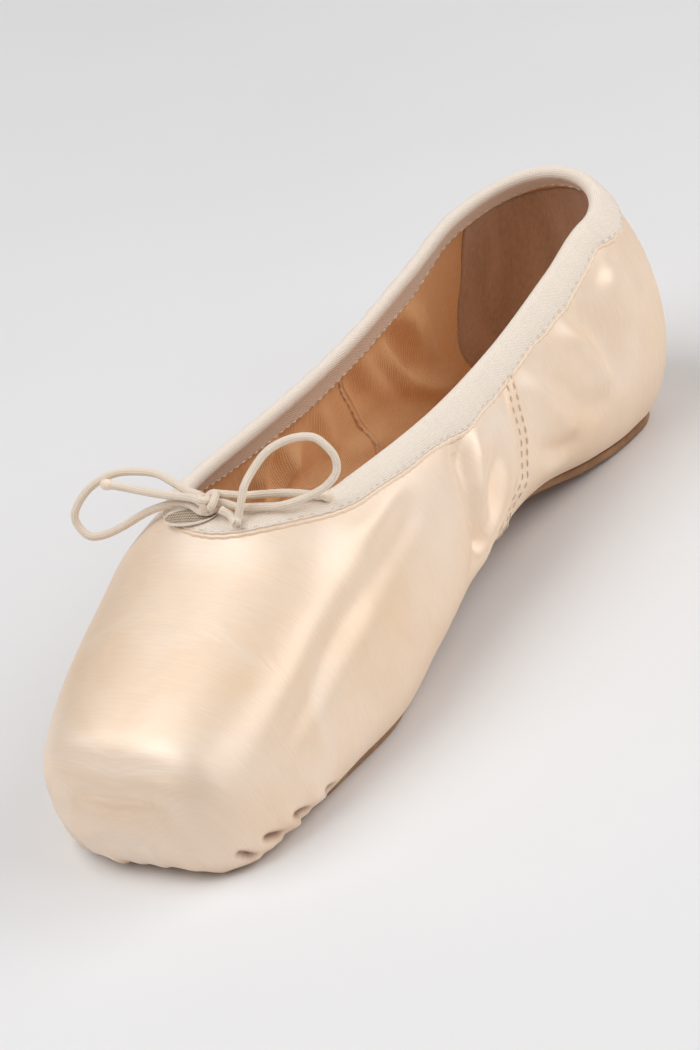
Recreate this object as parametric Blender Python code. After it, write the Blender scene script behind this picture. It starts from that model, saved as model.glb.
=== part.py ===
"""Pointe shoe, standing empty on its leather sole.

The toe points to -Y, the heel to +Y, the wearer's left is +X and the floor is z = 0.
Every piece follows one function of the last, `last_point`, so that a change of any size moves them all.
"""
import math

import bmesh
import bpy
import numpy as np
from mathutils import Vector

# Sizes of the last, metres
LENGTH = 0.236
BALL_WIDTH = 0.0784
TOE_WIDTH = 0.0440
WAIST_WIDTH = 0.0602
HEEL_WIDTH = 0.0600
HEEL_DEPTH = 0.0295
TOE_HEIGHT = 0.0322
THROAT_HEIGHT = 0.0560
WAIST_HEIGHT = 0.0497
BACK_HEIGHT = 0.0616
VAMP_LENGTH = 0.0668
THROAT_ROUND = 0.0248
COLLAR_WIDTH = 0.0457
COLLAR_DEPTH = 0.0213
TOE_EDGE = 0.0094
PLATFORM_DOME = 0.0008
ARCH_RISE = 0.0082
TOE_DROP = 0.0020
SIDE_CURVE = 0.0080

# Thickness of each layer
BOX_WALL = 0.0030
QUARTER_WALL = 0.0016
SOLE_THICKNESS = 0.0022
SOLE_FRONT_THICKNESS = 0.0014
INSOLE_THICKNESS = 0.0015
BINDING_THICKNESS = 0.0008
STRIP_THICKNESS = 0.0005
GAP = 0.0003
SOLE_GAP = 0.0005
FOLD_GAP = 0.0006
PLUG_GAP = 0.0008

# Sole and margin
SOLE_SETBACK = 0.0270
SOLE_CORNER = 0.0150
SOLE_OVERHANG = 0.0015
SOLE_BEVEL_WIDTH = 0.0012
SOLE_BEVEL_HEIGHT = 0.0008
SKIVE_LENGTH = 0.0100
LASTING_MARGIN = 0.0080
MARGIN_SETBACK = 0.0100
MARGIN_ROUND = 0.0140
INSOLE_SETBACK = 0.0125
INSOLE_CORNER = 0.0120

# Trim
BINDING_OUTSIDE = 0.0108
BINDING_INSIDE = 0.0085
STRIP_WIDTH = 0.0180
CORD_DIAMETER = 0.0019
KNOT_SIZE = (0.0062, 0.0052, 0.0064)

# Places along the last are shares of its length, counted from the toe
THROAT = VAMP_LENGTH / LENGTH
ROUND_END = THROAT + THROAT_ROUND / LENGTH
HEEL_AXIS = 1.0 - HEEL_DEPTH / LENGTH
SOLE_FRONT = SOLE_SETBACK / LENGTH
MARGIN_FRONT = SOLE_FRONT + MARGIN_SETBACK / LENGTH
INSOLE_FRONT = INSOLE_SETBACK / LENGTH
CURVE_START = 0.62


def before(share):
    """Place of a share of the vamp, from the toe to the throat."""
    return share * THROAT


def behind(share):
    """Place of a share of the quarters, from the end of the throat's round to the heel's axis."""
    return ROUND_END + share * (HEEL_AXIS - ROUND_END)


def mix(share, first, second):
    """Size that lies the given share of the way from the first to the second."""
    return first + share * (second - first)


# place, width, height of the widest level, height of ridge or collar, collar width,
# share of the width that is flat underneath, roundness below and above the widest level
SECTIONS = (
    (before(0.00), TOE_WIDTH, 0.60 * TOE_HEIGHT, TOE_HEIGHT, 0.0, 0.45, 2.45, 2.6),
    (before(0.21), mix(0.43, TOE_WIDTH, BALL_WIDTH), 0.41 * TOE_HEIGHT,
     mix(0.20, TOE_HEIGHT, THROAT_HEIGHT), 0.0, 0.79, 3.1, 2.5),
    (before(0.50), mix(0.76, TOE_WIDTH, BALL_WIDTH), 0.26 * THROAT_HEIGHT,
     mix(0.48, TOE_HEIGHT, THROAT_HEIGHT), 0.0, 0.77, 2.8, 2.4),
    (before(0.79), mix(0.92, TOE_WIDTH, BALL_WIDTH), 0.31 * THROAT_HEIGHT,
     mix(0.76, TOE_HEIGHT, THROAT_HEIGHT), 0.0, 0.77, 2.3, 2.3),
    (before(1.00), BALL_WIDTH, 0.33 * THROAT_HEIGHT, THROAT_HEIGHT, 0.0, 0.77, 2.2, 2.2),
    (behind(0.00), mix(0.28, BALL_WIDTH, WAIST_WIDTH), 0.37 * WAIST_HEIGHT,
     mix(0.55, THROAT_HEIGHT, WAIST_HEIGHT), 0.95 * COLLAR_WIDTH, 0.71, 2.1, 2.2),
    (behind(0.30), mix(0.74, BALL_WIDTH, WAIST_WIDTH), 0.45 * WAIST_HEIGHT,
     WAIST_HEIGHT, 1.00 * COLLAR_WIDTH, 0.58, 2.0, 2.2),
    (behind(0.56), WAIST_WIDTH, 0.50 * WAIST_HEIGHT, 1.01 * WAIST_HEIGHT, 0.97 * COLLAR_WIDTH, 0.49, 1.9, 2.2),
    (behind(0.83), HEEL_WIDTH, 0.40 * BACK_HEIGHT,
     mix(0.40, WAIST_HEIGHT, BACK_HEIGHT), 0.93 * COLLAR_WIDTH, 0.63, 1.85, 2.2),
    (behind(1.00), HEEL_WIDTH, 0.43 * BACK_HEIGHT,
     mix(0.70, WAIST_HEIGHT, BACK_HEIGHT), 0.90 * COLLAR_WIDTH, 0.66, 1.8, 2.2),
)
BACK_SECTION = (1.0, 2 * HEEL_DEPTH, 0.50 * BACK_HEIGHT, BACK_HEIGHT, 2 * COLLAR_DEPTH, 0.52, 1.62, 2.3)

# place, share of the arch's rise, share by which the gathered toe hangs below the rest of the underside
SOLE_LINE = (
    (0.00, 0.00, 0.90),
    (0.05, 0.00, 1.00),
    (0.09, 0.00, 0.65),
    (0.115, 0.00, 0.30),
    (0.15, 0.00, 0.00),
    (0.30, 0.00, 0.00),
    (0.40, 0.38, 0.00),
    (0.50, 0.86, 0.00),
    (0.58, 1.00, 0.00),
    (0.68, 0.80, 0.00),
    (0.78, 0.25, 0.00),
    (0.85, 0.00, 0.00),
    (1.00, 0.00, 0.00),
)

# place, share of the way from the quarter's wall to the box's wall
WALL_LINE = (
    (0.00, 1.00),
    (0.16, 1.00),
    (0.26, 0.45),
    (0.40, 0.00),
    (1.00, 0.00),
)

# Routes of the drawstring from the knot's centre, millimetres: left is -X, forward is -Y
LOOP_LEFT = (
    (-3.5, 1.9, 0.4), (-9, 3.5, 0.5), (-13.5, 4.5, 2), (-18, 5.5, 3), (-23.5, 5, 3.5), (-28.5, 3.5, 3.5),
    (-33, 1, 2), (-36, -1.5, -0.5), (-38, -3.5, -4), (-37.5, -4, -7), (-35, -4, -9.5), (-32, -2, -10),
    (-27.5, 0, -8.5), (-23, 2.5, -6.5), (-18, 3, -4.5), (-11.5, 2.5, -2.5), (-6.5, 1, -2), (-3.3, -0.5, -2.2),
)
END_LEFT = ((-3.6, -0.8, 1.2), (-7, 0.5, 0.5), (-14, 1.5, 0), (-20, 1.5, 0.5), (-25, 1, 1.5), (-28.5, 0, 2.5))
LOOP_RIGHT = (
    (3.6, -1, -1.1), (6, -1, -2.5), (8.5, -3, -3.5), (8, -1, -3), (9, 0.5, 0.5), (9.5, 2.5, 3.5),
    (10.5, 6, 6), (12.5, 9.5, 8.5), (15, 12.5, 9.5), (18.5, 14.5, 10), (21.5, 16.5, 9), (24, 17, 6.5),
    (25.5, 17, 3.5), (25.5, 16, 0.5), (24, 14, -1.5), (22, 11.5, -2.5), (19, 8.5, -3), (15.5, 5.5, -3),
    (10.5, 3.5, -2.5), (6.5, 2, -2), (3.4, 1.6, -1),
)
END_RIGHT = ((1.8, 2.9, 0.6), (6, 5.5, -1), (10, 7.5, -1.5), (14.5, 10, -2.3), (18.2, 12.2, -3.6),
             (20.5, 14, -5), (21.5, 15, -5.5))

# Rows and columns of the surfaces
CAP_SHARES = (0.0, 0.38, 0.72)
EDGE_STEPS = 4
VAMP_STEPS = 8
ROUND_STEPS = 6
QUARTER_STEPS = 13
HEEL_STEPS = 8
UNDER_STEPS = 2
LOWER_STEPS = 5
UPPER_STEPS = 8
MARCH_STEPS = 4


def smooth_row(places, values, at):
    """Monotone cubic through the rows of a table, so that equal neighbours stay level."""
    places, values = np.asarray(places, float), np.asarray(values, float)
    step = np.diff(places)
    slope = np.diff(values) / step
    tangent = np.zeros_like(values)
    tangent[0] = slope[0]
    for row in range(1, len(places) - 1):
        if slope[row - 1] * slope[row] > 0:
            early = 2 * step[row] + step[row - 1]
            late = step[row] + 2 * step[row - 1]
            tangent[row] = (early + late) / (early / slope[row - 1] + late / slope[row])
    row = np.clip(np.searchsorted(places, at, side="right") - 1, 0, len(places) - 2)
    t = np.clip((at - places[row]) / step[row], 0.0, 1.0)
    return ((1 + 2 * t) * (1 - t) ** 2 * values[row] + t * (1 - t) ** 2 * step[row] * tangent[row]
            + t * t * (3 - 2 * t) * values[row + 1] + t * t * (t - 1) * step[row] * tangent[row + 1])


def with_full_ridge(section):
    """Section whose height is that of the whole arch, worked out from its height at the collar."""
    place, width, level, height, collar, flat, low, high = section
    half = width / 2
    opening = min(collar / width, 0.95)
    ridge = level + (height - level) / (1 - opening ** high) ** (1 / high)
    return place, half, level, ridge, opening * half, flat, low, high


LAST_ROWS = np.array([with_full_ridge(section) for section in SECTIONS])
BACK_ROW = np.array(with_full_ridge(BACK_SECTION))
ROUND_ROW = 5


def last_sizes(place):
    """Sizes of the sections at the given places; behind the heel's axis the section turns round it."""
    place = np.asarray(place, float)
    along = np.clip(place, 0.0, HEEL_AXIS)
    columns = [smooth_row(LAST_ROWS[:, 0], LAST_ROWS[:, column], along) for column in range(1, 8)]
    lead = np.clip((ROUND_END - along) / (ROUND_END - THROAT), 0.0, 1.0)
    rounded = LAST_ROWS[ROUND_ROW, 4] * np.sqrt(1 - lead ** 2)
    columns[3] = np.where(along < ROUND_END, rounded, columns[3])
    swing = np.clip((place - HEEL_AXIS) / (1 - HEEL_AXIS), 0.0, 1.0) * math.pi / 2
    turned = np.sin(swing) ** 2
    for column in range(1, 7):
        columns[column] = mix(turned, columns[column], BACK_ROW[column + 1])
    half = 1 / np.sqrt(np.cos(swing) ** 2 / columns[0] ** 2 + turned / BACK_ROW[1] ** 2)
    line = np.array(SOLE_LINE)
    rise = ARCH_RISE * smooth_row(line[:, 0], line[:, 1], place)
    drop = TOE_DROP * smooth_row(line[:, 0], line[:, 2], place)
    return {
        "half": half, "level": columns[1], "ridge": columns[2], "collar": columns[3], "flat": columns[4] * half,
        "low": columns[5], "high": columns[6], "swing": swing,
        "bottom": rise - drop + SOLE_THICKNESS + SOLE_GAP, "y": along * LENGTH - LENGTH / 2,
    }


def quarter(turn, roundness):
    """Sine and cosine of a quarter of a superellipse, for a turn from 0 to 1."""
    sine, cosine = np.abs(np.sin(turn * math.pi / 2)), np.abs(np.cos(turn * math.pi / 2))
    reach = (sine ** roundness + cosine ** roundness) ** (-1 / roundness)
    return sine * reach, cosine * reach


def bend(x, y, z):
    """Sideways curve of the last, which grows with the square of the distance ahead of the waist."""
    waist = CURVE_START * LENGTH
    ahead = np.maximum(waist - LENGTH / 2 - y, 0.0) / waist
    return np.stack(np.broadcast_arrays(x + SIDE_CURVE * ahead ** 2, y, z), axis=-1)


def place_point(sizes, side, across, z):
    """Point at a distance across from the middle line, or out from the heel's axis behind it."""
    x = side * across * np.cos(sizes["swing"])
    y = sizes["y"] + across * np.sin(sizes["swing"])
    return bend(x, y, z)


def last_point(place, turn, side, inset=0.0, sink=0.0):
    """Point of the upper's outer face.

    Turn runs round the half section: -1 is the middle of the underside, 0 the edge of its flat part,
    1 the widest level and 2 the ridge. Side is 1 or -1. Inset shrinks the section and sink moves it to
    the heel, both for the rounded edge of the platform.
    """
    place, turn, side = np.broadcast_arrays(place, turn, side)
    sizes = last_sizes(place)
    half = sizes["half"] - inset
    flat = np.minimum(sizes["flat"], half - inset * 0.5 - GAP)
    sine_low, cosine_low = quarter(np.clip(turn, 0.0, 1.0), sizes["low"])
    sine_high, cosine_high = quarter(np.clip(turn - 1.0, 0.0, 1.0), sizes["high"])
    lower = mix(sine_low, flat, half)
    across = np.where(turn < 0, flat * (1 + turn), np.where(turn < 1, lower, half * cosine_high))
    below = sizes["level"] - (sizes["level"] - sizes["bottom"] - inset) * cosine_low
    above = sizes["level"] + (sizes["ridge"] - sizes["level"] - inset) * sine_high
    sizes["y"] = sizes["y"] + sink
    return place_point(sizes, side, across, np.where(turn < 1, below, above))


def tangents(place, turn, side):
    """Derivatives of the outer face along the last and round the section."""
    step = 1e-4
    early, late = np.clip(place - step, 0, 1), np.clip(place + step, 0, 1)
    along = (last_point(late, turn, side) - last_point(early, turn, side)) / (late - early)[..., None]
    low, high = np.clip(turn - step, -1, 2), np.clip(turn + step, -1, 2)
    around = (last_point(place, high, side) - last_point(place, low, side)) / (high - low)[..., None]
    return along, around


def normals(place, turn, side):
    """Outward unit normals of the outer face."""
    along, around = tangents(place, turn, side)
    normal = np.cross(along, around) * np.asarray(side)[..., None]
    return normal / np.linalg.norm(normal, axis=-1, keepdims=True)


def skin_point(place, turn, side, out):
    """Point at a distance out from the upper's outer face."""
    place, turn, side = np.broadcast_arrays(place, turn, side)
    return last_point(place, turn, side) + normals(place, turn, side) * np.asarray(out)[..., None]


def wall(place):
    """Thickness of the upper's wall."""
    line = np.array(WALL_LINE)
    return mix(smooth_row(line[:, 0], line[:, 1], place), QUARTER_WALL, BOX_WALL)


def turn_at(sizes, across):
    """Turn below the widest level at which the section reaches a distance from the middle."""
    reach = np.clip((across - sizes["flat"]) / (sizes["half"] - sizes["flat"]), 0.0, 1.0)
    rest = (1 - reach ** sizes["low"]) ** (1 / sizes["low"])
    beyond = np.arctan2(reach, rest) * 2 / math.pi
    return np.where(across < sizes["flat"], across / sizes["flat"] - 1, beyond)


def collar_turn(place):
    """Turn at which the section meets the collar's edge."""
    sizes = last_sizes(place)
    reach = np.clip(sizes["collar"] / sizes["half"], 0.0, 1.0)
    rest = (1 - reach ** sizes["high"]) ** (1 / sizes["high"])
    return 1 + np.arctan2(rest, reach) * 2 / math.pi


def margin_half(sizes, place, clearance=0.0):
    """Half width of the opening that the lasted margin leaves underneath."""
    full = sizes["flat"] - LASTING_MARGIN - clearance
    front = MARGIN_FRONT + clearance / LENGTH
    lead = np.clip(1 - (place - front) * LENGTH / MARGIN_ROUND, 0.0, 1.0)
    return np.where(place > front, np.maximum(full, GAP) * np.sqrt(1 - lead ** 2), 0.0)


def round_rows(start, length, steps):
    """Places that divide a round end of the given length into equal turns."""
    angle = np.linspace(0, math.pi / 2, steps + 1)
    return start + (1 - np.cos(angle)) * length / LENGTH


def merged(*rows):
    """Sorted places of several tables, without those nearly equal."""
    places = np.sort(np.concatenate(rows))
    keep = np.concatenate([[True], np.diff(places) > 0.0006])
    return places[keep]


def body_rows():
    """Places of the upper's sections behind the platform's edge."""
    vamp = np.linspace(TOE_EDGE / LENGTH, THROAT, VAMP_STEPS + 1)[1:-1]
    throat = round_rows(THROAT, THROAT_ROUND, ROUND_STEPS)
    quarters = np.linspace(ROUND_END, HEEL_AXIS, QUARTER_STEPS + 1)[1:]
    heel = np.linspace(HEEL_AXIS, 1.0, HEEL_STEPS + 1)[1:]
    fixed = np.concatenate([throat, [HEEL_AXIS, 1.0]])
    near = np.concatenate([vamp, quarters, heel, round_rows(MARGIN_FRONT, MARGIN_ROUND, 4)])
    clear = [place for place in near if np.abs(fixed - place).min() > 0.004]
    return merged(fixed, np.array(clear))


def material(name, colour, roughness, metallic=0.0):
    """Plain Principled material."""
    made = bpy.data.materials.new(name)
    made.use_nodes = True
    shader = made.node_tree.nodes["Principled BSDF"]
    shader.inputs["Base Color"].default_value = (*colour, 1.0)
    shader.inputs["Roughness"].default_value = roughness
    shader.inputs["Metallic"].default_value = metallic
    made.diffuse_color = (*colour, 1.0)
    return made


def mesh_object(name, points, faces, surface):
    """Object from points and faces, with double points welded and the sides of the faces agreed."""
    mesh = bpy.data.meshes.new(name)
    mesh.from_pydata([tuple(point) for point in points], [], faces)
    work = bmesh.new()
    work.from_mesh(mesh)
    bmesh.ops.remove_doubles(work, verts=work.verts, dist=1e-5)
    bmesh.ops.dissolve_degenerate(work, edges=work.edges, dist=1e-6)
    work.to_mesh(mesh)
    work.free()
    mesh.shade_smooth()
    mesh.set_sharp_from_angle(angle=math.radians(40))
    made = bpy.data.objects.new(name, mesh)
    bpy.context.collection.objects.link(made)
    made.data.materials.append(surface)
    return made


def grid_faces(rows, columns, start=0, flip=False, close_rows=False, close_columns=False):
    """Quads of a grid of points numbered row by row."""
    faces = []
    for row in range(rows if close_rows else rows - 1):
        for column in range(columns if close_columns else columns - 1):
            after, beside = (row + 1) % rows, (column + 1) % columns
            quad = (start + row * columns + column, start + after * columns + column,
                    start + after * columns + beside, start + row * columns + beside)
            faces.append(quad[::-1] if flip else quad)
    return faces


def profile_sweep(name, sections, surface, closed=False):
    """Closed body swept through sections that are closed profiles with the same number of points."""
    rows, columns = sections.shape[:2]
    faces = grid_faces(rows, columns, close_rows=closed, close_columns=True)
    if not closed:
        faces.append(tuple(range(columns)))
        faces.append(tuple(range((rows - 1) * columns, rows * columns))[::-1])
    made = mesh_object(name, sections.reshape(-1, 3), faces, surface)
    outward(made)
    return made


def outward(made):
    """Turn the faces of a closed mesh outward."""
    work = bmesh.new()
    work.from_mesh(made.data)
    bmesh.ops.recalc_face_normals(work, faces=work.faces)
    if work.calc_volume(signed=True) < 0:
        bmesh.ops.reverse_faces(work, faces=work.faces)
    work.to_mesh(made.data)
    work.free()


def upper_grid(side):
    """Outer face of one half of the upper: places and points, from the platform's middle to the back."""
    body = body_rows()
    edge = np.linspace(0, math.pi / 2, EDGE_STEPS + 1)
    place = np.concatenate([[0.0] * len(CAP_SHARES), TOE_EDGE * (1 - np.cos(edge)) / LENGTH, body])
    inset = np.concatenate([[TOE_EDGE] * len(CAP_SHARES), TOE_EDGE * (1 - np.sin(edge)), np.zeros(len(body))])
    sizes = last_sizes(place)
    start = turn_at(sizes, margin_half(sizes, place))
    end = np.where(place > THROAT, collar_turn(place), 2.0)
    under = start[:, None] * (1 - np.linspace(0, 1, UNDER_STEPS + 1))
    lower = np.broadcast_to(np.linspace(0, 1, LOWER_STEPS + 1)[1:], (len(place), LOWER_STEPS))
    upper = 1 + (end[:, None] - 1) * np.linspace(0, 1, UPPER_STEPS + 1)[1:]
    turn = np.concatenate([under, lower, upper], axis=1)
    sink = PLATFORM_DOME * np.exp(-place * LENGTH / TOE_EDGE)
    points = last_point(place[:, None], turn, side, inset[:, None], sink[:, None])
    rim = points[len(CAP_SHARES)]
    middle = (rim[0] + rim[-1]) / 2
    for row, share in enumerate(CAP_SHARES):
        points[row] = mix(share, middle, rim)
        points[row, :, 1] = rim[:, 1] - PLATFORM_DOME * (1 - share ** 2)
    return place, points


def make_upper(surface):
    """Hollow satin upper: both halves of the outer face, thickened inward."""
    points, faces, weights = [], [], []
    for side in (1, -1):
        place, half = upper_grid(side)
        rows, columns = half.shape[:2]
        faces += grid_faces(rows, columns, start=len(points), flip=side < 0)
        points += list(half.reshape(-1, 3))
    made = mesh_object("upper", points, faces, surface)
    group = made.vertex_groups.new(name="wall")
    for vertex in made.data.vertices:
        share = min(max((vertex.co.y + LENGTH / 2) / LENGTH, 0.0), 1.0)
        group.add([vertex.index], float(wall(np.array(share))) / BOX_WALL, "REPLACE")
    shell = made.modifiers.new("wall", "SOLIDIFY")
    shell.thickness = BOX_WALL
    shell.offset = -1.0
    shell.vertex_group = group.name
    shell.use_even_offset = True
    return made


def sole_rows():
    """Places of the outsole's sections."""
    front = round_rows(SOLE_FRONT, SOLE_CORNER, 5)
    middle = np.linspace(front[-1], HEEL_AXIS, 17)[1:]
    heel = np.linspace(HEEL_AXIS, 1.0, HEEL_STEPS + 1)[1:]
    return np.concatenate([front, middle, heel])


def corner_share(place, front, corner):
    """Share of the full width where a sheet begins with a nearly straight end and round corners."""
    lead = np.clip(1 - (place - front) * LENGTH / corner, 0.0, 1.0)
    return (1 - lead ** 3) ** (1 / 3)


def make_outsole(surface):
    """Leather outsole: its top follows the upper's underside and its flat bottom has a bevelled edge."""
    place = sole_rows()
    sizes = last_sizes(place)
    full = (sizes["flat"] + SOLE_OVERHANG) * corner_share(place, SOLE_FRONT, SOLE_CORNER)
    thin = np.clip((place - SOLE_FRONT) * LENGTH / SKIVE_LENGTH, 0.0, 1.0)
    thickness = mix(thin, SOLE_FRONT_THICKNESS, SOLE_THICKNESS)
    bevel = np.minimum(SOLE_BEVEL_WIDTH, full)

    def top(across):
        turn = np.clip(turn_at(sizes, across), 0.0, 1.0)
        cosine = quarter(turn, sizes["low"])[1]
        return sizes["level"] - (sizes["level"] - sizes["bottom"]) * cosine - SOLE_GAP

    bottom = sizes["bottom"] - SOLE_GAP - thickness
    profile = [(share * full, top(share * full)) for share in (0.0, 0.5, 0.85, 1.0)]
    profile.append((full, bottom + SOLE_BEVEL_HEIGHT))
    profile.append((full - bevel, bottom))
    profile.append((0.5 * (full - bevel), bottom))
    profile.append((0.0 * full, bottom))
    points, faces = [], []
    for side in (1, -1):
        half = np.stack([place_point(sizes, side, across, z) for across, z in profile], axis=1)
        rows, columns = half.shape[:2]
        faces += grid_faces(rows, columns, start=len(points), flip=side > 0)
        points += list(half.reshape(-1, 3))
    made = mesh_object("outsole", points, faces, surface)
    outward(made)
    return made


def make_insole(surface):
    """Insole board on the lasted margin, with a middle that fills the margin's opening."""
    front = round_rows(INSOLE_FRONT, INSOLE_CORNER, 4)
    plug = round_rows(MARGIN_FRONT + PLUG_GAP / LENGTH, MARGIN_ROUND, 4)
    middle = np.linspace(plug[-1], HEEL_AXIS, 13)[1:]
    heel = np.linspace(HEEL_AXIS, 1.0, HEEL_STEPS + 1)[1:]
    place = merged(front, plug, middle, heel)
    sizes = last_sizes(place)
    thick = wall(place)
    edge = np.maximum(sizes["flat"] - GAP, GAP) * corner_share(place, INSOLE_FRONT, INSOLE_CORNER)
    inner = np.minimum(margin_half(sizes, place, PLUG_GAP), edge * 0.9)
    board = sizes["bottom"] + thick + GAP
    filled = np.where(inner > 0, sizes["bottom"], board)
    high = board + INSOLE_THICKNESS
    profile = [(0.0 * edge, filled), (0.5 * inner, filled), (inner, filled), (inner, board),
               (mix(0.5, inner, edge), board), (edge, board), (edge, high),
               (mix(0.5, inner, edge), high), (inner, high), (0.5 * inner, high), (0.0 * edge, high)]
    points, faces = [], []
    for side in (1, -1):
        half = np.stack([place_point(sizes, side, across, z) for across, z in profile], axis=1)
        rows, columns = half.shape[:2]
        faces += grid_faces(rows, columns, start=len(points), flip=side < 0)
        points += list(half.reshape(-1, 3))
    made = mesh_object("insole", points, faces, surface)
    outward(made)
    return made


def collar_stations():
    """Places, sides and edge points round the collar, from the throat by +X to the back and home."""
    rows = body_rows()
    half = rows[rows >= THROAT]
    place = np.concatenate([half, half[-2:0:-1]])
    side = np.concatenate([np.ones(len(half)), -np.ones(len(half) - 2)])
    turn = collar_turn(place)
    return place, turn, side


def downward(place, turn, side):
    """Unit direction on the surface that leads away from the collar's edge, square to it."""
    edge = last_point(place, turn, side)
    run = np.roll(edge, -1, axis=0) - np.roll(edge, 1, axis=0)
    run /= np.linalg.norm(run, axis=1, keepdims=True)
    down = np.cross(run, normals(place, turn, side))
    return down / np.linalg.norm(down, axis=1, keepdims=True)


def march(place, turn, side, direction, distance):
    """Place and turn reached by walking a distance over the surface in a direction."""
    place, turn, direction = place.copy(), turn.copy(), direction.copy()
    for _ in range(MARCH_STEPS):
        along, around = tangents(place, turn, side)
        aa, ab, bb = (along * along).sum(-1), (along * around).sum(-1), (around * around).sum(-1)
        step = direction * (distance / MARCH_STEPS)
        da, db = (along * step).sum(-1), (around * step).sum(-1)
        base = aa * bb - ab * ab
        place = np.clip(place + (da * bb - db * ab) / base, 0, 1)
        turn = np.clip(turn + (db * aa - da * ab) / base, -1, 2)
        normal = normals(place, turn, side)
        direction -= normal * (direction * normal).sum(-1)[:, None]
        direction /= np.linalg.norm(direction, axis=1, keepdims=True)
    return place, turn


def make_binding(surface):
    """Folded tape over the collar's edge: a U profile that follows the edge all the way round."""
    place, turn, side = collar_stations()
    down = downward(place, turn, side)
    edge = last_point(place, turn, side)
    normal = normals(place, turn, side)
    thick = wall(place)[:, None]

    def leg(distance, clearance, inside=False):
        there, round_to = march(place, turn, side, down, distance)
        depth = -wall(there)[:, None] - clearance if inside else clearance
        return last_point(there, round_to, side) + normals(there, round_to, side) * depth

    def over(angle, clearance):
        radius = thick / 2 + clearance
        return edge - down * radius * math.sin(angle) + normal * (radius * math.cos(angle) - thick / 2)

    outer, inner = FOLD_GAP + BINDING_THICKNESS, FOLD_GAP
    turns = [math.radians(degrees) for degrees in (45, 90, 135)]
    profile = [leg(BINDING_OUTSIDE * share, outer) for share in (1.0, 0.5, 0.0)]
    profile += [over(angle, outer) for angle in turns]
    profile += [leg(BINDING_INSIDE * share, outer, inside=True) for share in (0.0, 0.5, 1.0)]
    profile += [leg(BINDING_INSIDE * share, inner, inside=True) for share in (1.0, 0.5, 0.0)]
    profile += [over(angle, inner) for angle in reversed(turns)]
    profile += [leg(BINDING_OUTSIDE * share, inner) for share in (0.0, 0.5, 1.0)]
    return profile_sweep("collar_binding", np.stack(profile, axis=1), surface, closed=True)


def make_back_strip(surface):
    """Thin strip over the seam at the back of the heel, from the sole's edge to the binding."""
    swing = math.asin(STRIP_WIDTH / 2 / HEEL_DEPTH)
    reach = swing * 2 / math.pi * (1 - HEEL_AXIS)
    lean = np.linspace(-1, 1, 9)
    place, side = 1 - reach * np.abs(lean), np.where(lean < 0, -1.0, 1.0)
    sizes = last_sizes(place)
    start = turn_at(sizes, sizes["flat"] + SOLE_OVERHANG + 4 * GAP)
    edge_turn = collar_turn(place)
    run = np.gradient(last_point(place, edge_turn, side), axis=0)
    down = np.cross(normals(place, edge_turn, side), run)
    down /= np.linalg.norm(down, axis=1, keepdims=True)
    end_place, end_turn = march(place, edge_turn, side, down, BINDING_OUTSIDE + 2 * GAP)
    rise = np.linspace(0, 1, 11)
    turn = mix(rise, start[:, None], end_turn[:, None])
    spot = mix(rise, place[:, None], end_place[:, None])
    half = np.broadcast_to(side[:, None], turn.shape)
    low = skin_point(spot, turn, half, GAP)
    high = skin_point(spot, turn, half, GAP + STRIP_THICKNESS)
    sections = np.concatenate([high, low[:, ::-1]], axis=1)
    return profile_sweep("heel_back_strip", sections, surface)


def throat_seat():
    """Point on top of the binding in the middle of the throat, and the direction away from it."""
    place, turn, side = np.array([THROAT]), np.array([2.0]), np.array([1.0])
    edge = last_point(place, turn, side)[0]
    normal = normals(place, turn, side)[0]
    return Vector(edge + normal * (FOLD_GAP + BINDING_THICKNESS)), Vector(normal)


def knot_centre():
    """Centre of the knot, which rests on the binding at the throat."""
    seat, away = throat_seat()
    return seat + away * (KNOT_SIZE[2] / 2 + GAP)


def make_knot(surface):
    """Plain solid of the knot's outer shape."""
    mesh = bpy.data.meshes.new("drawstring_knot")
    work = bmesh.new()
    bmesh.ops.create_uvsphere(work, u_segments=14, v_segments=9, radius=0.5)
    for vertex in work.verts:
        vertex.co = Vector(size * part for size, part in zip(KNOT_SIZE, vertex.co))
    work.to_mesh(mesh)
    work.free()
    mesh.shade_smooth()
    made = bpy.data.objects.new("drawstring_knot", mesh)
    made.location = knot_centre()
    bpy.context.collection.objects.link(made)
    mesh.materials.append(surface)
    return made


def route_points(route):
    """Smooth curve through a cord's route, with a point about every two and a half diameters."""
    points = [Vector(point) * 0.001 for point in route]
    ends = [2 * points[0] - points[1]] + points + [2 * points[-1] - points[-2]]
    fine = []
    for before_it, first, second, after_it in zip(ends, ends[1:], ends[2:], ends[3:]):
        for step in range(12):
            t = step / 12
            fine.append(0.5 * (2 * first + t * (second - before_it)
                               + t * t * (2 * before_it - 5 * first + 4 * second - after_it)
                               + t ** 3 * (3 * first - before_it - 3 * second + after_it)))
    fine.append(points[-1])
    lengths = np.concatenate([[0.0], np.cumsum([(b - a).length for a, b in zip(fine, fine[1:])])])
    count = max(3, round(lengths[-1] / (2.5 * CORD_DIAMETER)))
    places = np.linspace(0, lengths[-1], count + 1)
    columns = [np.interp(places, lengths, [point[axis] for point in fine]) for axis in range(3)]
    return [Vector(point) for point in zip(*columns)]


def make_cord(name, route, surface):
    """Cord along its route from the knot."""
    curve = bpy.data.curves.new(name, "CURVE")
    curve.dimensions = "3D"
    curve.bevel_depth = CORD_DIAMETER / 2
    curve.bevel_resolution = 2
    curve.use_fill_caps = True
    points = route_points(route)
    spline = curve.splines.new("POLY")
    spline.points.add(len(points) - 1)
    centre = knot_centre()
    for spot, point in zip(spline.points, points):
        spot.co = (*(centre + point), 1.0)
    curve.materials.append(surface)
    made = bpy.data.objects.new(name, curve)
    bpy.context.collection.objects.link(made)
    return made


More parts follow.
